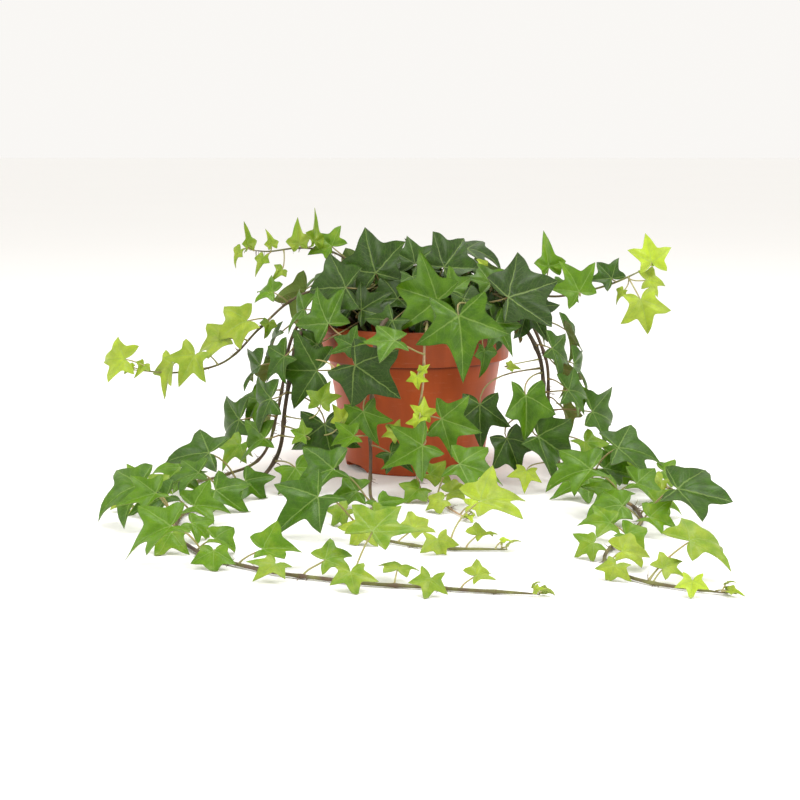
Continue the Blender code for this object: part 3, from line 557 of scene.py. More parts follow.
def stem_material(looks):
    """Ivy stem: green skin near the tip, thin ridged brown bark near the root. The ridges
    run lengthwise, about 0.3 mm apart, and pale corky pores speckle them."""
    material, tree = new_material("ivy_stem_bark")
    age = add_node(tree, "Attribute", attribute_name="age", output="Fac")
    along = add_node(tree, "UVMap", uv_map="flat")
    place = add_node(tree, "TexCoord", output="Object")
    ridged = add_node(tree, "VectorMath", {0: along, 1: (26.0, 0.35, 1.0)},
                      operation="MULTIPLY")
    ridges = add_node(tree, "TexNoise", {"Vector": ridged, "Scale": 1.0, "Detail": 3.0})
    pores = add_node(tree, "TexVoronoi", {"Vector": place, "Scale": 420.0}, output="Distance")
    pore = add_node(tree, "MapRange", {"Value": pores, "From Min": 0.06, "From Max": 0.2,
                                       "To Min": 1.0, "To Max": 0.0})
    patches = add_node(tree, "TexNoise", {"Vector": place, "Scale": 110.0, "Detail": 3.0})
    shift = add_node(tree, "MapRange", {"Value": patches, "From Min": 0.3, "From Max": 0.7,
                                        "To Min": -0.22, "To Max": 0.22})
    aged = add_node(tree, "Math", {0: age, 1: shift}, operation="ADD", use_clamp=True)
    colour = add_node(tree, "ValToRGB", {"Fac": aged}, stops=[
        (0.0, looks.shoot), (0.25, looks.green), (0.5, linear("#6b6a3a")), (0.75, looks.flush),
        (1.0, looks.brown)])
    shade = add_node(tree, "MapRange", {"Value": ridges, "From Min": 0.3, "From Max": 0.7,
                                        "To Min": 0.72, "To Max": 1.2})
    colour = add_node(tree, "VectorMath", {0: colour, 3: shade}, operation="SCALE")
    pore = add_node(tree, "Math", {0: pore, 1: 0.35}, operation="MULTIPLY")
    colour = mix_colours(tree, pore, colour, linear("#a89069"))
    rough = add_node(tree, "MapRange", {"Value": ridges, "To Min": 0.5, "To Max": 0.75})
    bump = add_node(tree, "Bump", {"Height": ridges, "Strength": 0.6, "Distance": 0.15 * MM})
    finish_material(tree, {"Base Color": colour, "Roughness": rough, "IOR": 1.45,
                           "Normal": bump})
    return material


def air_root_material(looks):
    """Air roots: dry brown hairs, paler at the root and darker at the tip."""
    material, tree = new_material("ivy_air_root_fibre")
    place = add_node(tree, "TexCoord", output="Object")
    blotch = add_node(tree, "TexNoise", {"Vector": place, "Scale": 700.0, "Detail": 2.0})
    colour = mix_colours(tree, blotch, looks.air_root, linear("#5f4630"))
    rough = add_node(tree, "MapRange", {"Value": blotch, "To Min": 0.65, "To Max": 0.9})
    finish_material(tree, {"Base Color": colour, "Roughness": rough, "IOR": 1.45})
    return material


def pot_material(looks):
    """Polypropylene, injection moulded from terracotta-coloured granules. It has a soft
    satin shine from a fine spark-eroded mould, faint flow streaks down the wall, and the
    scuffs and dried water marks of a nursery bench. A painted shadow darkens the wall under the collar."""
    material, tree = new_material("moulded_polypropylene_terracotta")
    place = add_node(tree, "TexCoord", output="Object")
    streaked = add_node(tree, "VectorMath", {0: place, 1: (1.0, 1.0, 0.12)},
                        operation="MULTIPLY")
    streaks = add_node(tree, "TexNoise", {"Vector": streaked, "Scale": 120.0, "Detail": 4.0})
    patches = add_node(tree, "TexNoise", {"Vector": place, "Scale": 28.0, "Detail": 4.0})
    # Mould grain of about 0.25 mm, drawn at 0.5 mm so that it shows.
    grain = add_node(tree, "TexNoise", {"Vector": place, "Scale": 2000.0, "Detail": 1.0})
    scuffed = add_node(tree, "VectorMath", {0: place, 1: (1.0, 1.0, 5.0)}, operation="MULTIPLY")
    scuffs = add_node(tree, "TexNoise", {"Vector": scuffed, "Scale": 60.0, "Detail": 6.0,
                                         "Roughness": 0.7})
    scuff = add_node(tree, "MapRange", {"Value": scuffs, "From Min": 0.58, "From Max": 0.8,
                                        "To Min": 0.0, "To Max": 0.45})
    mixed = add_node(tree, "Math", {0: streaks, 1: patches}, operation="MULTIPLY")
    deep = add_node(tree, "MapRange", {"Value": mixed, "From Min": 0.15, "From Max": 0.4,
                                       "To Min": 0.75, "To Max": 0.0})
    colour = mix_colours(tree, deep, looks.plastic, looks.plastic_deep)
    colour = mix_colours(tree, scuff, colour, looks.scuff)
    # Painted shadow: the wall turns dark brown in the 2.5 mm under the collar, where the collar's shadow
    # falls.
    shoulder = looks.height - looks.collar_height
    level = add_node(tree, "SeparateXYZ", {0: place}, output="Z")
    under = add_node(tree, "MapRange", {"Value": level, "From Min": shoulder - 2.5 * MM,
                                        "From Max": shoulder - 0.9 * MM, "To Max": 0.8})
    below = add_node(tree, "Math", {0: level, 1: shoulder}, operation="LESS_THAN")
    painted_collar_shadow = add_node(tree, "Math", {0: under, 1: below}, operation="MULTIPLY")
    colour = mix_colours(tree, painted_collar_shadow, colour, linear("#3a1608"))
    rough = add_node(tree, "MapRange", {"Value": patches, "From Min": 0.3, "From Max": 0.7,
                                        "To Min": 0.36, "To Max": 0.5})
    rough = add_node(tree, "Math", {0: rough, 1: scuff}, operation="ADD", use_clamp=True)
    bump = add_node(tree, "Bump", {"Height": grain, "Strength": 0.25, "Distance": 0.05 * MM})
    finish_material(tree, {"Base Color": colour, "Roughness": rough, "IOR": 1.49,
                           "Specular IOR Level": 0.35, "Normal": bump})
    return material


def peat_material(looks):
    """Peat compost: crumbly, dark where moist and paler where its top crumbs have dried."""
    material, tree = new_material("peat_compost_crumb")
    place = add_node(tree, "TexCoord", output="Object")
    crumbs = add_node(tree, "TexVoronoi", {"Vector": place, "Scale": 480.0}, output="Distance")
    fibres = add_node(tree, "TexNoise", {"Vector": place, "Scale": 900.0, "Detail": 6.0,
                                         "Roughness": 0.7})
    damp = add_node(tree, "TexNoise", {"Vector": place, "Scale": 60.0, "Detail": 3.0})
    dry = add_node(tree, "Math", {0: fibres, 1: damp}, operation="MULTIPLY")
    dry = add_node(tree, "MapRange", {"Value": dry, "From Min": 0.16, "From Max": 0.42})
    colour = mix_colours(tree, dry, looks.peat, looks.peat_dry)
    rough = add_node(tree, "MapRange", {"Value": damp, "To Min": 0.78, "To Max": 1.0})
    height = add_node(tree, "Math", {0: crumbs, 1: fibres}, operation="ADD")
    bump = add_node(tree, "Bump", {"Height": height, "Strength": 0.9, "Distance": 0.8 * MM})
    finish_material(tree, {"Base Color": colour, "Roughness": rough, "IOR": 1.45,
                           "Normal": bump})
    return material


def chip_material(name, colour, speck):
    """A broken chip in the compost, mottled by the dust that sticks to it."""
    material, tree = new_material(name)
    place = add_node(tree, "TexCoord", output="Object")
    dust = add_node(tree, "TexNoise", {"Vector": place, "Scale": 800.0, "Detail": 4.0})
    share = add_node(tree, "MapRange", {"Value": dust, "From Min": 0.45, "From Max": 0.7,
                                        "To Min": 0.0, "To Max": 0.8})
    mixed = mix_colours(tree, share, colour, speck)
    rough = add_node(tree, "MapRange", {"Value": dust, "To Min": 0.75, "To Max": 0.95})
    bump = add_node(tree, "Bump", {"Height": dust, "Strength": 0.6, "Distance": 0.3 * MM})
    finish_material(tree, {"Base Color": mixed, "Roughness": rough, "IOR": 1.45,
                           "Normal": bump})
    return material


def floor_material(looks):
    """Matt painted board: almost even, with a trace of roller texture."""
    material, tree = new_material("matt_painted_board")
    place = add_node(tree, "TexCoord", output="Object")
    roller = add_node(tree, "TexNoise", {"Vector": place, "Scale": 350.0, "Detail": 3.0})
    tone = add_node(tree, "TexNoise", {"Vector": place, "Scale": 1.5, "Detail": 2.0})
    darker = tuple(0.985 * level for level in looks.floor)
    colour = mix_colours(tree, tone, looks.floor, darker)
    rough = add_node(tree, "MapRange", {"Value": roller, "To Min": 0.7, "To Max": 0.9})
    bump = add_node(tree, "Bump", {"Height": roller, "Strength": 0.1, "Distance": 0.05 * MM})
    finish_material(tree, {"Base Color": colour, "Roughness": rough, "IOR": 1.5,
                           "Normal": bump})
    return material


PLANT_MATERIALS = {}


def plant_materials():
    """The plant's materials, made once: blade, underside, stalk, bark, air root."""
    if not PLANT_MATERIALS:
        leaf = bpy.context.scene.ivy_leaves
        stem = bpy.context.scene.ivy_stems
        upper = [(0.0, leaf.bud), (0.2, leaf.young), (0.45, leaf.growing), (0.72, leaf.grown),
                 (1.0, leaf.old)]
        under = [(0.0, leaf.under_young), (1.0, leaf.under_old)]
        PLANT_MATERIALS["upper"] = leaf_material("ivy_leaf_waxy_upper_skin", leaf, upper,
                                                 leaf.vein, -0.55, 0.36, 1.0)
        PLANT_MATERIALS["under"] = leaf_material("ivy_leaf_matt_under_skin", leaf, under,
                                                 linear("#aab573"), 0.8, 0.58, 0.7)
        PLANT_MATERIALS["stalk"] = stalk_material(leaf)
        PLANT_MATERIALS["bark"] = stem_material(stem)
        PLANT_MATERIALS["air_root"] = air_root_material(stem)
    return PLANT_MATERIALS


# ---------------------------------------------------------------------------------------
# Mesh building


class Sketch:
    """A mesh in the making, in millimetres, with the values that the materials read."""

    def __init__(self):
        self.points, self.ages, self.rims, self.sizes = [], [], [], []
        self.faces, self.slots, self.corners = [], [], []

    def point(self, place, age=0.5, rim=0.0, size=1.0):
        self.points.append(place * MM)
        self.ages.append(age)
        self.rims.append(rim)
        self.sizes.append(size)
        return len(self.points) - 1

    def face(self, indices, slot=0, flat=None):
        self.faces.append(indices)
        self.slots.append(slot)
        self.corners.extend(flat or [(0.0, 0.0)] * len(indices))

    def build(self, name, materials, sharp=50):
        """Makes the object, smooth but for edges that turn by more than `sharp` degrees."""
        mesh = bpy.data.meshes.new(name)
        mesh.from_pydata(self.points, [], self.faces)
        mesh.polygons.foreach_set("material_index", self.slots)
        layer = mesh.uv_layers.new(name="flat")
        layer.data.foreach_set("uv", [value for pair in self.corners for value in pair])
        for label, values in (("age", self.ages), ("rim", self.rims), ("leaf_mm", self.sizes)):
            mesh.attributes.new(label, "FLOAT", "POINT").data.foreach_set("value", values)
        for material in materials:
            mesh.materials.append(material)
        mesh.shade_smooth()
        mesh.set_sharp_from_angle(angle=math.radians(sharp))
        mesh.validate()
        item = bpy.data.objects.new(name, mesh)
        bpy.context.scene.collection.objects.link(item)
        return item


def declare(item, slot, *nodes):
    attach(item, BODY)
    if nodes:
        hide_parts(*nodes)


def spline_points(route, spacing):
    """Points about `spacing` apart on a smooth curve through the route's own points."""
    points = [Vector(p) for p in route]
    ends = [2 * points[0] - points[1], *points, 2 * points[-1] - points[-2]]
    found = [points[0]]
    for a, b, c, d in zip(ends, ends[1:], ends[2:], ends[3:]):
        steps = max(1, round((c - b).length / spacing))
        for k in range(1, steps + 1):
            t = k / steps
            found.append(0.5 * (2 * b + (c - a) * t + (2 * a - 5 * b + 4 * c - d) * t**2
                                + (3 * b - a - 3 * c + d) * t**3))
    return found


def add_tube(sketch, path, radii, ages, sides, slot):
    """A closed round tube along a path, with a domed end. It never dips into the floor."""
    side = (path[1] - path[0]).orthogonal().normalized()
    rings, travelled = [], [0.0]
    for k, place in enumerate(path):
        ahead = (path[min(k + 1, len(path) - 1)] - path[max(k - 1, 0)]).normalized()
        side = (side - ahead * ahead.dot(side)).normalized()
        over = ahead.cross(side)
        if k:
            travelled.append(travelled[-1] + (place - path[k - 1]).length)
        ring = []
        for j in range(sides):
            turn = 2 * math.pi * j / sides
            edge = place + (side * math.cos(turn) + over * math.sin(turn)) * radii[k]
            edge.z = max(edge.z, FLOOR_CLEAR)
            ring.append(sketch.point(edge, ages[k]))
        rings.append(ring)
    for k, (low, high) in enumerate(zip(rings, rings[1:])):
        for j in range(sides):
            n = (j + 1) % sides
            u, v = j / sides, (j + 1) / sides
            sketch.face((low[j], low[n], high[n], high[j]), slot,
                        [(u, travelled[k]), (v, travelled[k]), (v, travelled[k + 1]),
                         (u, travelled[k + 1])])
    tail = (path[-1] - path[-2]).normalized() * radii[-1] * 0.6
    ends = [path[0].copy(), path[-1] + tail]
    for end in ends:
        end.z = max(end.z, FLOOR_CLEAR)
    poles = [sketch.point(end, age) for end, age in zip(ends, (ages[0], ages[-1]))]
    for j in range(sides):
        n = (j + 1) % sides
        sketch.face((poles[0], rings[0][n], rings[0][j]), slot)
        sketch.face((poles[1], rings[-1][j], rings[-1][n]), slot)


def clock_axes(hours, turn, lift):
    """A blade's axes, to its right, towards its tip and out of its upper face, from the way
    the tip points on a clock and how far the face turns to the right and upwards."""
    turn, lift, angle = math.radians(turn), math.radians(lift), math.radians(30 * hours)
    face = Vector((math.sin(turn) * math.cos(lift), -math.cos(turn) * math.cos(lift),
                   math.sin(lift)))
    return face_axes(face, Vector((math.sin(angle), 0, math.cos(angle))))


def face_axes(face, ahead):
    face = face.normalized()
    ahead = (ahead - face * ahead.dot(face)).normalized()
    return Matrix((ahead.cross(face), ahead, face)).transposed()


def edge_points(kind, steps):
    """The whole edge of a blade of length 1, from the tip down its right side and up its
    left, with `steps` points to each stretch between the kind's own points."""
    half = []
    for run in EDGES[kind]:
        points = [Vector((x, y, 0)) for x, y in run]
        ends = [2 * points[0] - points[1], *points, 2 * points[-1] - points[-2]]
        for a, b, c, d in zip(ends, ends[1:], ends[2:], ends[3:]):
            for k in range(steps):
                t = k / steps
                half.append(0.5 * (2 * b + (c - a) * t + (2 * a - 5 * b + 4 * c - d) * t**2
                                   + (3 * b - a - 3 * c + d) * t**3))
    half.append(Vector((0, 0, 0)))
    return [(p.x, p.y) for p in half] + [(-p.x, p.y) for p in reversed(half[1:-1])]


def vein_distance(u, v):
    """Distance from a point of the flat blade to the nearest main vein."""
    best = 1.0
    for tip in LOBE_TIPS:
        ahead = Vector(tip).normalized()
        along = abs(u) * ahead.x + v * ahead.y
        if along > 0:
            best = min(best, abs(abs(u) * ahead.y - v * ahead.x))
    return min(best, math.hypot(u, v))


def random_form(draw):
    """Angles in radians and heights as shares of the blade's length."""
    return Form(fold=draw.choice((0.08, 0.18, 0.3, 0.45)) * draw.uniform(0.8, 1.2),
                bend=draw.choice((0.25, 0.5, 0.8, 1.2)) * draw.uniform(0.8, 1.2),
                droop=draw.uniform(0.05, 0.3), wave=draw.uniform(0.03, 0.07),
                turns=draw.choice((5, 6, 7)), phase=draw.uniform(0, 6.3),
                curl=draw.uniform(0.02, 0.14), swing=draw.uniform(0, 6.3),
                twist=draw.uniform(-0.16, 0.16), left=draw.uniform(0.92, 1.06),
                right=draw.uniform(0.92, 1.06), lean=draw.uniform(-0.13, 0.13),
                sweep_left=draw.uniform(-0.14, 0.16), sweep_right=draw.uniform(-0.14, 0.16))


def sheet_point(x, y, u, v, form):
    """A point of the curved blade: folded up along its middle vein, bent back from heel to
    tip, each lobe keeled along its own vein, curled and rippled towards its edge. No two
    halves match: the side lobes sweep forward or back, and the middle lobe leans aside."""
    y += abs(x) * (form.sweep_right if x > 0 else form.sweep_left)
    x *= form.right if x > 0 else form.left
    x += form.lean * max(0.0, y) ** 2
    reach = x * x + (y - 0.1) ** 2
    angle = math.atan2(x, y - 0.1)
    keel = 0.055 * (1 - math.exp(-(vein_distance(u, v) / 0.09) ** 2))
    height = ((math.hypot(x, 0.06) - 0.06) * math.sin(form.fold) - form.droop * x * x
              + form.twist * x * y + form.curl * reach * math.sin(3 * angle + form.swing)
              + form.wave * reach * math.sin(form.turns * angle + form.phase) + keel)
    turned_by = form.bend * y
    ahead = math.sin(turned_by) / form.bend + height * math.sin(turned_by)
    lift = height * math.cos(turned_by) - (1 - math.cos(turned_by)) / form.bend
    return Vector((x * math.cos(form.fold), ahead, lift))


def add_blade(sketch, leaf, form, thickness):
    """The blade: an upper sheet, a lower sheet and the thin edge that joins them."""
    fine = leaf.length > 17
    steps = 2 if fine else 1
    shares = (0.1, 0.24, 0.38, 0.52, 0.66, 0.8, 0.93, 1.0) if fine else (0.2, 0.5, 0.8, 1.0)
    shape, pattern = edge_points(leaf.kind, steps), edge_points("star", steps)
    middle = Vector(BLADE_MIDDLE)
    rows = [[(middle, middle)]]
    for share in shares:
        rows.append([(middle.lerp(Vector(p), share), middle.lerp(Vector(q), share))
                     for p, q in zip(shape, pattern)])
    sheets = []
    for side in (0.5, -0.5):
        sheet = []
        for share, row in zip((0.0, *shares), rows):
            line = []
            for (x, y), (u, v) in row:
                place = leaf.heel + leaf.axes @ (sheet_point(x, y, u, v, form) * leaf.length)
                place.z = max(place.z, 0.6)
                place += leaf.axes.col[2] * thickness * side
                place.z = max(place.z, 0.3)
                line.append(sketch.point(place, leaf.age, share, leaf.length))
            sheet.append(line)
        sheets.append(sheet)
    count = len(shape)
    for sheet, slot in zip(sheets, (0, 1)):
        for j in range(count):
            n = (j + 1) % count
            corners = [(sheet[0][0], rows[0][0]), (sheet[1][j], rows[1][j]),
                       (sheet[1][n], rows[1][n])]
            quads = [corners]
            for k in range(1, len(shares)):
                quads.append([(sheet[k][j], rows[k][j]), (sheet[k + 1][j], rows[k + 1][j]),
                              (sheet[k + 1][n], rows[k + 1][n]), (sheet[k][n], rows[k][n])])
            for quad in quads:
                quad = quad if slot else quad[::-1]
                sketch.face([index for index, _ in quad], slot,
                            [tuple(pattern_point) for _, (_, pattern_point) in quad])
    for j in range(count):
        n = (j + 1) % count
        top, under = sheets[0][-1], sheets[1][-1]
        corner, following = tuple(rows[-1][j][1]), tuple(rows[-1][n][1])
        sketch.face((top[j], top[n], under[n], under[j])[::-1], 1,
                    [corner, following, following, corner][::-1])


def stalk_root(stem, wanted):
    """The stem's point nearest to `wanted`, its direction there and its radius."""
    root, tip, _, _, route = STEMS[stem]
    points = spline_points(route, 3)
    best = min(range(1, len(points) - 1), key=lambda k: (points[k] - wanted).length)
    along = (points[best + 1] - points[best - 1]).normalized()
    return points[best], along, root + (tip - root) * best / (len(points) - 1)


def add_stalk(sketch, leaf, radius):
    """The leaf stalk: out of a little sheath on the stem, then up under the blade."""
    back = -(leaf.axes @ Vector((0, 1, 0.5))).normalized()
    root, along, stem_radius = stalk_root(leaf.stem, leaf.heel + back * 0.6 * leaf.length)
    out = leaf.heel - root
    out = (out - along * out.dot(along)).normalized()
    start = root + out * stem_radius * 0.4
    reach = (leaf.heel - start).length
    inside = leaf.heel + leaf.axes @ Vector((0, 0.03 * leaf.length, -0.1))
    controls = [start, start + out * reach * 0.3, leaf.heel + back * reach * 0.4, inside]
    steps = 10
    path, radii = [], []
    slim = radius * (0.65 + leaf.length / 90)
    for k in range(steps + 1):
        t = k / steps
        weights = ((1 - t)**3, 3 * t * (1 - t)**2, 3 * t**2 * (1 - t), t**3)
        place = sum((c * w for c, w in zip(controls, weights)), Vector())
        place.z = max(place.z, 0.9)
        path.append(place)
        radii.append(slim * (1 + 0.7 * math.exp(-(t / 0.1) ** 2) - 0.35 * max(0, t - 0.85) / 0.15))
    add_tube(sketch, path, radii, [leaf.age] * len(path), 7, 2)


def add_leaf(sketch, leaf, looks):
    draw = random.Random(leaf.name)
    form = random_form(draw)
    add_stalk(sketch, leaf, looks.stalk_radius / MM)
    add_blade(sketch, leaf, form, looks.thickness / MM)


def main_leaves():
    return [Leaf(name, stem, Vector(heel), clock_axes(hours, turn, lift), length, age, kind)
            for name, stem, heel, hours, turn, lift, length, age, kind in MAIN_LEAVES]


def table_leaves():
    found = []
    for stem, rows in SMALL_LEAVES.items():
        for number, (heel, hours, turn, lift, length, age, kind) in enumerate(rows):
            found.append(Leaf(f"{stem}_small_{number}", stem, Vector(heel),
                              clock_axes(hours, turn, lift), length, age, kind))
    return found


def spots(leaf):
    """A few points spread over a blade, to judge how close two leaves come."""
    flat = ((0, 0.15), (0, 0.5), (0, 0.85), (0.35, 0.22), (-0.35, 0.22), (0.6, 0.36),
            (-0.6, 0.36), (0.28, -0.16), (-0.28, -0.16))
    return [leaf.heel + leaf.axes @ (Vector((x, y, 0)) * leaf.length) for x, y in flat]


def blade_tree(leaf, looks):
    """The blade's faces as a search tree, which tells whether two blades cross."""
    sketch = Sketch()
    add_blade(sketch, leaf, random_form(random.Random(leaf.name)), looks.thickness / MM)
    return BVHTree.FromPolygons(sketch.points, sketch.faces)


def pot_tree(looks):
    """The skin of the pot, 1 mm proud, and of its compost, 2 mm proud, as a search tree."""
    top, rim = looks.height / MM, looks.rim_radius / MM
    shoulder = top - looks.collar_height / MM
    inside, level = rim - looks.lip / MM - 1, looks.soil_level / MM + 2
    shape = turned([(0, level), (inside, level), (inside, top + 1), (rim + 1, top + 1),
                    (rim + 1, shoulder), (looks.neck_radius / MM + 1, shoulder),
                    (looks.base_radius / MM + 1, 0), (0, 0)], 72)
    tree = BVHTree.FromBMesh(shape)
    shape.free()
    return tree


def settle(leaf, trees, looks, shifts):
    """The leaf, moved along its own facing by the first shift at which its blade crosses
    none of the trees. Its tree joins them. None if no shift will do."""
    for shift in shifts:
        moved = leaf._replace(heel=leaf.heel + leaf.axes.col[2] * shift)
        tree = blade_tree(moved, looks)
        if not any(tree.overlap(other) for other in trees):
            trees.append(tree)
            return moved
    return None


def floor_leaves(placed, trees, looks):
    """Leaves along the stretches of stem that lie on the floor, left and right in turn,
    each held up on its stalk and tipped towards the light in front. One that would stand
    in another's place, or cross it, is left out."""
    taken = [spot for leaf in placed for spot in spots(leaf)]
    found = []
    for stem, (first, last, spacing, longest, shortest, old, young) in FLOOR_RUNS.items():
        points = spline_points(STEMS[stem][4], 2)
        draw = random.Random(stem)
        start, stop = round(first * len(points)), round(last * len(points))
        for number, k in enumerate(range(start, stop, round(spacing / 2))):
            share = (k - start) / (stop - start)
            ahead = (points[k + 1] - points[k - 1]).normalized()
            aside = ahead.cross(UP) * (1 if number % 2 else -1)
            size = (longest + (shortest - longest) * share) * draw.uniform(0.8, 1.1)
            for rise in (0.3, 0.55, 0.8):
                heel = points[k] + aside * size * 0.42 + UP * (size * rise + 2)
                face = UP * 1.5 + Vector((0, -1.0, 0)) + aside * draw.uniform(-0.3, 0.6)
                tip = aside + ahead * draw.uniform(-0.2, 0.9) - UP * 0.15
                leaf = Leaf(f"{stem}_floor_{number}", stem, heel, face_axes(face, tip), size,
                            old + (young - old) * share + draw.uniform(-0.1, 0.1),
                            draw.choice(("star", "star", "broad")))
                near = min((spot - other).length for spot in spots(leaf) for other in taken)
                if near > 4.5 and settle(leaf, trees, looks, (0.0,)):
                    found.append(leaf)
                    taken += spots(leaf)
                    break
    return found


def crown_leaves(placed, trees, looks):
    """Dark leaves that fill the crown behind and between the main ones, over two domes.
    One that would cross another leaf, the pot or the compost is left out."""
    taken = [spot for leaf in placed for spot in spots(leaf)]
    tops = {stem: Vector(STEMS[stem][4][-1]) for stem in STEMS if stem.startswith("crown")}
    draw = random.Random("crown")
    found = []
    for count, radii, sizes, room in ((120, (72, 66, 46), (20, 30), 2.4),
                                      (110, (54, 50, 34), (18, 28), 2.2)):
        for number in range(count):
            height = 1 - 0.9 * (number + 0.5) / count
            angle = GOLDEN_ANGLE * number
            wide = math.sqrt(1 - height * height)
            out = Vector((wide * math.cos(angle), wide * math.sin(angle), height))
            base = Vector([r * d for r, d in zip(radii, out)]) + Vector((2, -6, CROWN_FOOT))
            aside = Vector((draw.uniform(-1, 1), draw.uniform(-1, 1), draw.uniform(-0.6, 0.4)))
            size, age = draw.uniform(*sizes), draw.uniform(0.8, 1.0)
            kind = draw.choice(("star", "broad"))
            for pull in (1.0, 0.88, 0.76):
                raised = CROWN_FOOT + (base.z - CROWN_FOOT) * pull
                heel = Vector((base.x * pull, base.y * pull, raised))
                stem = min(tops, key=lambda name: (tops[name] - heel).length)
                tip = out * math.sqrt(2) * 0.3 + aside - UP * 0.3
                leaf = Leaf(f"crown_filler_{number}_{count}", stem, heel,
                            face_axes(out + UP * 0.2 + aside * 0.3, tip), size, age, kind)
                if min((a - b).length for a in spots(leaf) for b in taken) < room:
                    continue
                settled = settle(leaf, trees, looks, CROWN_SHIFTS)
                if settled:
                    found.append(settled)
                    taken += spots(settled)
                    break
    return found


def bud_leaves():
    """Three tiny folded leaves at the growing tip of each stem."""
    found = []
    for stem, (_, _, _, tip_age, route) in STEMS.items():
        if stem.startswith("crown"):
            continue
        points = spline_points(route, 3)
        ahead = (points[-1] - points[-2]).normalized()
        draw = random.Random(stem + "_bud")
        for number in range(3):
            away = Vector((draw.uniform(-1, 1), draw.uniform(-1, 1), draw.uniform(0.2, 1.2)))
            tip = ahead + away * 0.5
            heel = points[-3 if number else -2] + tip.normalized() * (4 + number)
            found.append(Leaf(f"{stem}_bud_{number}", stem, heel, face_axes(away, tip),
                              8.5 - 1.5 * number, max(0.0, tip_age - 0.4), "arrow"))
    return found


def add_air_roots(sketch, points, radii, nodes, per_node, draw):
    """Tufts of short clinging roots on the side of the stem away from the light."""
    for k in nodes:
        if draw.random() < 0.3 or k + 2 >= len(points):
            continue
        ahead = (points[k + 1] - points[k - 1]).normalized()
        tuft = Vector((draw.uniform(-1, 1), draw.uniform(-0.4, 1), draw.uniform(-1, 0.2)))
        for _ in range(per_node):
            start = points[k] + ahead * draw.uniform(-4, 4)
            spread = Vector((draw.gauss(0, 0.5), draw.gauss(0, 0.5), draw.gauss(0, 0.4)))
            out = tuft + spread
            out = (out - ahead * out.dot(ahead)).normalized()
            reach = draw.uniform(2.0, 5.5)
            bend = Vector((draw.uniform(-1, 1), draw.uniform(-1, 1), -0.6)) * reach * 0.25
            path = [start + out * radii[k] * 0.6, start + out * (radii[k] + reach * 0.5),
                    start + out * (radii[k] + reach) + bend]
            add_tube(sketch, path, [0.22, 0.17, 0.07], [0.5] * 3, 4, 1)


def make_stem(name, looks):
    """One stem: swollen at its nodes, bent a little at each, with its air roots."""
    root, tip, root_age, tip_age, route = STEMS[name]
    points = spline_points(route, 2.5)
    spacing = round(looks.node_spacing / MM / 2.5)
    draw = random.Random(name)
    radii, ages = [], []
    for k, place in enumerate(points):
        share = k / (len(points) - 1)
        phase = (k % spacing) / spacing
        swell = math.exp(-(min(phase, 1 - phase) / 0.09) ** 2)
        taper = min(1.0, 0.35 + (len(points) - 1 - k) / 10)
        radii.append((root + (tip - root) * share) * (0.85 + looks.swelling * swell) * taper)
        ages.append(root_age + (tip_age - root_age) * share)
        if 0 < share < 1:
            zigzag = 0.5 * (1 if (k // spacing) % 2 else -1) * math.sin(math.pi * phase)
            points[k] = place + Vector((zigzag, zigzag * 0.4, 0))
            points[k].z = max(points[k].z, radii[k] + 0.2)
    sketch = Sketch()
    add_tube(sketch, points, radii, ages, 12, 0)
    if not name.startswith("crown"):
        nodes = range(spacing, len(points), spacing)
        add_air_roots(sketch, points, radii, nodes, looks.roots_per_node, draw)
    materials = plant_materials()
    item = sketch.build(name.replace("_stem", "_bark_stem"),
                        [materials["bark"], materials["air_root"]])
    declare(item, "ivy_stem", name)


# ---------------------------------------------------------------------------------------
# Pot and compost


def turned(profile, sides, wobble=None):
    """A closed bmesh turned from a profile of (radius, height) from axis to axis."""
    shape = bmesh.new()
    start, *ring_rows, end = profile
    poles = [shape.verts.new((0, 0, z)) for _, z in (start, end)]
    rings = []
    for radius, z in ring_rows:
        ring = []
        for k in range(sides):
            angle = 2 * math.pi * k / sides
            place = Vector((radius * math.cos(angle), radius * math.sin(angle), z))
            ring.append(shape.verts.new(wobble(place) if wobble else place))
        rings.append(ring)
    for k in range(sides):
        n = (k + 1) % sides
        shape.faces.new((poles[0], rings[0][n], rings[0][k]))
        shape.faces.new((poles[1], rings[-1][k], rings[-1][n]))
        for low, high in zip(rings, rings[1:]):
            shape.faces.new((low[k], low[n], high[n], high[k]))
    bmesh.ops.scale(shape, vec=(MM, MM, MM), verts=shape.verts)
    return shape


def rounded(corner, before, after, radius, steps=4):
    """Profile points that round a corner off between its two neighbours."""
    corner, before, after = Vector(corner), Vector(before), Vector(after)
    start = corner + (before - corner).normalized() * radius
    end = corner + (after - corner).normalized() * radius
    found = []
    for k in range(steps + 1):
        t = k / steps
        found.append(tuple(start * (1 - t)**2 + corner * 2 * t * (1 - t) + end * t * t))
    return found


def round_profile(rows):
    """A profile from (radius, height, rounding) rows."""
    found = []
    for k, (x, z, radius) in enumerate(rows):
        if radius:
            found += rounded((x, z), rows[k - 1][:2], rows[k + 1][:2], radius)
        else:
            found.append((x, z))
    return found


def new_object(name, shape, materials):
    mesh = bpy.data.meshes.new(name)
    shape.to_mesh(mesh)
    shape.free()
    for material in materials:
        mesh.materials.append(material)
    item = bpy.data.objects.new(name, mesh)
    bpy.context.scene.collection.objects.link(item)
    return item


def cut_away(item, cutters):
    """Cuts the cutters out of an object's mesh and removes them."""
    for cutter in cutters:
        modifier = item.modifiers.new(cutter.name, "BOOLEAN")
        modifier.operation = "DIFFERENCE"
        modifier.solver = "EXACT"
        modifier.object = cutter
    graph = bpy.context.evaluated_depsgraph_get()
    cut_mesh = bpy.data.meshes.new_from_object(item.evaluated_get(graph))
    item.modifiers.clear()
    item.data = cut_mesh
    for cutter in cutters:
        bpy.data.objects.remove(cutter)


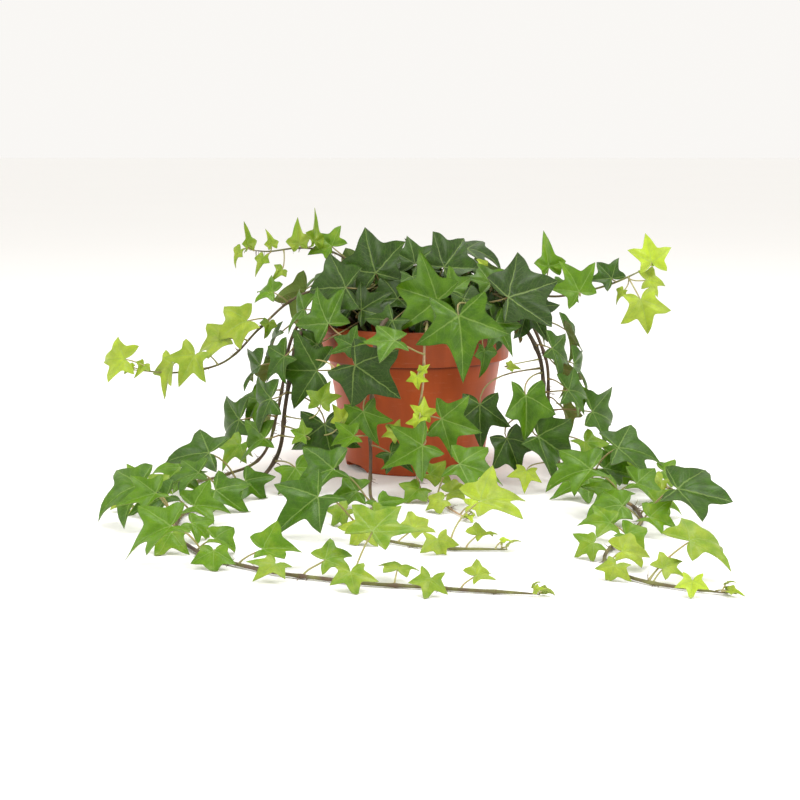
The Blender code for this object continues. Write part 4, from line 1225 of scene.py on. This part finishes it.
def notch_cutter(number, base_radius):
    """A wedge of ring that opens the foot of the wall over one drainage notch."""
    middle = NOTCH_FIRST + 360 // NOTCH_COUNT * number
    steps = 12
    shape = bmesh.new()
    columns = []
    for k in range(steps + 1):
        angle = math.radians(middle - NOTCH_SPAN / 2 + NOTCH_SPAN * k / steps)
        top = NOTCH_HEIGHT * min(1.0, 4 * min(k, steps - k) / steps + 0.3)
        for radius in (base_radius - NOTCH_DEPTH, base_radius + 5):
            x, y = radius * math.cos(angle), radius * math.sin(angle)
            columns.append([shape.verts.new((x * MM, y * MM, z * MM)) for z in (-2, top)])
    for k in range(steps):
        (a, b), (c, d), (e, f), (g, h) = columns[2 * k:2 * k + 4]
        for face in ((a, c, g, e), (b, f, h, d), (a, e, f, b), (c, d, h, g)):
            shape.faces.new(face)
    for first, second in ((columns[0], columns[1]), (columns[-1], columns[-2])):
        shape.faces.new((first[0], first[1], second[1], second[0]))
    bmesh.ops.recalc_face_normals(shape, faces=shape.faces)
    return new_object(f"notch_cutter_{number}", shape, [])


def drain_cutter(number):
    angle = math.radians(360 / DRAIN_COUNT * (number + 0.5))
    reach = DRAIN_CIRCLE * MM
    place = Matrix.Translation((reach * math.cos(angle), reach * math.sin(angle), 0))
    shape = bmesh.new()
    bmesh.ops.create_cone(shape, cap_ends=True, segments=32, radius1=DRAIN_RADIUS * MM,
                          radius2=DRAIN_RADIUS * MM, depth=10 * MM, matrix=place)
    return new_object(f"drain_cutter_{number}", shape, [])


def make_pot(looks):
    """The pot: one moulding with a rounded lip, a collar that oversails the wall with a sharp shadow under
    it, partly cast and partly painted by its material, a tapering wall and a foot stepped up at its drainage
    notches."""
    top, rim = looks.height / MM, looks.rim_radius / MM
    collar, neck, base = looks.collar_height / MM, looks.neck_radius / MM, looks.base_radius / MM
    wall, lip = looks.wall / MM, looks.lip / MM
    waist = rim - looks.collar_draft / MM
    shoulder = top - collar
    rows = [
        (0, 0, 0), (base - 8, 0, 0), (base, 0, 1.4), (neck, shoulder, 0.8),
        (waist, shoulder, 0.5), (rim - 0.5, top - 4.2, 0.3), (rim, top - 3.6, 0.4),
        (rim, top, 0.9), (rim - lip, top, 0.7), (rim - lip, top - 3.0, 0.5),
        (rim - lip - 0.6, top - 4.0, 0.3), (waist - wall, shoulder + 2.5, 0.8),
        (neck - wall, shoulder, 0.6), (base - wall, wall, 1.0), (0, wall, 0)]
    shape = turned(round_profile(rows), 180)
    bmesh.ops.recalc_face_normals(shape, faces=shape.faces)
    pot = new_object("moulded_pot", shape, [pot_material(looks)])
    cutters = [notch_cutter(k, base) for k in range(NOTCH_COUNT)]
    cutters += [drain_cutter(k) for k in range(DRAIN_COUNT)]
    cut_away(pot, cutters)
    pot.data.shade_smooth()
    pot.data.set_sharp_from_angle(angle=math.radians(40))
    declare(pot, "terracotta_plastic", "pot")


def add_lump(shape, place, size, stretch, draw, slot):
    """A broken lump: a small ball of uneven facets, stretched and turned at random."""
    turn = Matrix.Rotation(draw.uniform(0, 6.3), 3, Vector((draw.uniform(-1, 1),
                                                           draw.uniform(-1, 1), 1)))
    made = bmesh.ops.create_icosphere(shape, subdivisions=1, radius=1)
    for vert in made["verts"]:
        vert.co *= draw.uniform(0.7, 1.2)
        vert.co = turn @ Vector((vert.co.x * stretch, vert.co.y, vert.co.z * 0.7))
        vert.co = (place + vert.co * size) * MM
    for vert in made["verts"]:
        for face in vert.link_faces:
            face.material_index = slot


def make_compost(looks):
    """The compost: a crumbly mound that sinks a little towards the wall, strewn with
    crumbs of peat, chips of bark and grains of perlite."""
    shoulder = (looks.height - looks.collar_height) / MM
    clear = looks.wall / MM + COMPOST_GAP
    neck, base = looks.neck_radius / MM - clear, looks.base_radius / MM - clear
    edge = looks.rim_radius / MM - looks.collar_draft / MM - clear - 0.3
    level = looks.soil_level / MM

    def crumbled(place):
        if place.z < level - 2.5:
            return place
        rough = noise.fractal(place * 0.16, 1.0, 2.0, 4) + 0.6 * noise.noise(place * 0.5)
        return place + UP * (1.3 * rough - 0.4)

    inner = [(edge * (1 - k / 26), level - 0.9 + 0.9 * (k / 26) ** 0.5) for k in range(26)]
    profile = [(0, clear), (base - 1.4, clear), (base - 0.2, 3.4), (neck, shoulder),
               (edge, shoulder + 3), (edge, level - 3), *inner, (0, level)]
    shape = turned(profile, 110, crumbled)
    draw = random.Random("compost")
    for count, sizes, stretch, slot in ((520, (0.5, 1.5), 1.3, 0), (70, (0.7, 1.7), 1.1, 2),
                                        (90, (0.8, 1.8), 2.6, 1)):
        for _ in range(count):
            radius = (edge - 6) * math.sqrt(draw.random())
            angle = draw.uniform(0, 2 * math.pi)
            place = Vector((radius * math.cos(angle), radius * math.sin(angle), level))
            add_lump(shape, crumbled(place), draw.uniform(*sizes), stretch, draw, slot)
    bmesh.ops.recalc_face_normals(shape, faces=shape.faces)
    materials = [peat_material(looks),
                 chip_material("composted_bark_chip", looks.bark, looks.peat),
                 chip_material("perlite_grain", looks.grit, linear("#8d8170"))]
    item = new_object("crumbly_compost", shape, materials)
    item.data.shade_smooth()
    item.data.set_sharp_from_angle(angle=math.radians(50))
    declare(item, "compost", "potting_compost")


# ---------------------------------------------------------------------------------------
# Operators


class IvyMakeStage(bpy.types.Operator):
    """Lay the floor, set the soft lights and place the camera"""
    bl_idname = "ivy.make_stage"
    bl_label = "Make Stage"

    def execute(self, context):
        looks = context.scene.ivy_stage
        shape = bmesh.new()
        bmesh.ops.create_grid(shape, x_segments=16, y_segments=16, size=30.0)
        floor = new_object("pale_floor", shape, [floor_material(looks)])
        world = bpy.data.worlds.new("soft_surround")
        world.use_nodes = True
        backdrop = world.node_tree.nodes["Background"]
        backdrop.inputs["Color"].default_value = (*looks.sky, 1.0)
        backdrop.inputs["Strength"].default_value = looks.sky_strength
        context.scene.world = world
        target = Vector((-0.01, -0.1, 0.06))
        for name, place, size, power in (
                ("left_softbox", (-1.2, -0.8, 0.8), 0.7, looks.left_power),
                ("right_softbox", (1.1, -0.9, 1.0), 0.7, looks.right_power),
                ("top_softbox", (0.1, 0.15, 1.5), 0.8, looks.top_power)):
            light = bpy.data.lights.new(name, "AREA")
            light.shape = "DISK"
            light.size = size
            light.energy = power
            lamp = bpy.data.objects.new(name, light)
            lamp.location = place
            lamp.rotation_euler = (target - lamp.location).to_track_quat("-Z", "Y").to_euler()
            context.scene.collection.objects.link(lamp)
        camera = bpy.data.objects.new("front_camera", bpy.data.cameras.new("front_camera"))
        camera.data.lens = looks.lens
        camera.data.clip_start = 0.01
        aim = Vector((0, -math.cos(looks.elevation), math.sin(looks.elevation)))
        camera.location = target + aim * looks.distance
        camera.rotation_euler = (-aim).to_track_quat("-Z", "Y").to_euler()
        context.scene.collection.objects.link(camera)
        context.scene.camera = camera
        context.scene.view_settings.view_transform = "Standard"
        return {"FINISHED"}


class IvyMakePot(bpy.types.Operator):
    """Mould the pot with its collar, foot, notches and drain holes"""
    bl_idname = "ivy.make_pot"
    bl_label = "Make Pot"

    def execute(self, context):
        make_pot(context.scene.ivy_pot)
        return {"FINISHED"}


class IvyMakeCompost(bpy.types.Operator):
    """Fill the pot with crumbly compost"""
    bl_idname = "ivy.make_compost"
    bl_label = "Make Compost"

    def execute(self, context):
        make_compost(context.scene.ivy_pot)
        return {"FINISHED"}


class IvyMakeStems(bpy.types.Operator):
    """Grow the stems along their routes, with nodes and air roots"""
    bl_idname = "ivy.make_stems"
    bl_label = "Make Stems"

    def execute(self, context):
        for name in STEMS:
            make_stem(name, context.scene.ivy_stems)
        return {"FINISHED"}


class IvyMakeMainLeaves(bpy.types.Operator):
    """Model each main leaf in its own place"""
    bl_idname = "ivy.make_main_leaves"
    bl_label = "Make Main Leaves"

    def execute(self, context):
        materials = plant_materials()
        for leaf in main_leaves():
            sketch = Sketch()
            add_leaf(sketch, leaf, context.scene.ivy_leaves)
            item = sketch.build(leaf.name + "_blade", [materials["upper"], materials["under"],
                                                       materials["stalk"]])
            slot = "young_ivy_leaf" if leaf.length < YOUNG_LENGTH else "ivy_leaf"
            declare(item, slot, leaf.name)
        return {"FINISHED"}


class IvyMakeSmallLeaves(bpy.types.Operator):
    """Add the smaller leaves and buds, their blades clear of each other, one piece to each stem"""
    bl_idname = "ivy.make_small_leaves"
    bl_label = "Make Small Leaves"

    def execute(self, context):
        materials = plant_materials()
        looks = context.scene.ivy_leaves
        trees = [pot_tree(context.scene.ivy_pot)]
        trees += [blade_tree(leaf, looks) for leaf in main_leaves()]
        small = [settle(leaf, trees, looks, TABLE_SHIFTS) for leaf in table_leaves()]
        small = [leaf for leaf in small if leaf]
        small += crown_leaves(main_leaves() + small, trees, looks)
        small += floor_leaves(main_leaves() + small, trees, looks)
        buds = [settle(leaf, trees, looks, BUD_SHIFTS) for leaf in bud_leaves()]
        small += [leaf for leaf in buds if leaf]
        for stem in STEMS:
            sketch = Sketch()
            own = [leaf for leaf in small if leaf.stem == stem]
            for leaf in own:
                add_leaf(sketch, leaf, looks)
            if own:
                item = sketch.build(stem.replace("_stem", "_small_leaves"),
                                    [materials["upper"], materials["under"],
                                     materials["stalk"]])
                declare(item, "young_ivy_leaf")
        return {"FINISHED"}


class IvyPanel(bpy.types.Panel):
    """Lists the pieces of the potted ivy in the sidebar"""
    bl_idname = "VIEW3D_PT_potted_ivy"
    bl_label = "Potted Ivy"
    bl_space_type = "VIEW_3D"
    bl_region_type = "UI"
    bl_category = "Ivy"

    def draw(self, context):
        for owner, operators in (
                ("ivy_stage", (IvyMakeStage,)),
                ("ivy_pot", (IvyMakePot, IvyMakeCompost)),
                ("ivy_stems", (IvyMakeStems,)),
                ("ivy_leaves", (IvyMakeMainLeaves, IvyMakeSmallLeaves))):
            box = self.layout.box()
            settings = getattr(context.scene, owner)
            for key in type(settings).__annotations__:
                box.prop(settings, key)
            for operator in operators:
                box.operator(operator.bl_idname)


SETTINGS = {"ivy_pot": IvyPotSettings, "ivy_leaves": IvyLeafSettings,
            "ivy_stems": IvyStemSettings, "ivy_stage": IvyStageSettings}
CLASSES = (*SETTINGS.values(), IvyMakeStage, IvyMakePot, IvyMakeCompost, IvyMakeStems,
           IvyMakeMainLeaves, IvyMakeSmallLeaves, IvyPanel)


def register():
    for item in CLASSES:
        bpy.utils.register_class(item)
    for key, group in SETTINGS.items():
        setattr(bpy.types.Scene, key, PointerProperty(type=group))


def unregister():
    for key in SETTINGS:
        delattr(bpy.types.Scene, key)
    for item in reversed(CLASSES):
        bpy.utils.unregister_class(item)


def main():
    register()
    bpy.ops.ivy.make_stage()
    bpy.ops.ivy.make_pot()
    bpy.ops.ivy.make_compost()
    bpy.ops.ivy.make_stems()
    bpy.ops.ivy.make_main_leaves()
    bpy.ops.ivy.make_small_leaves()
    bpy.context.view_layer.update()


if __name__ == "__main__":
    main()
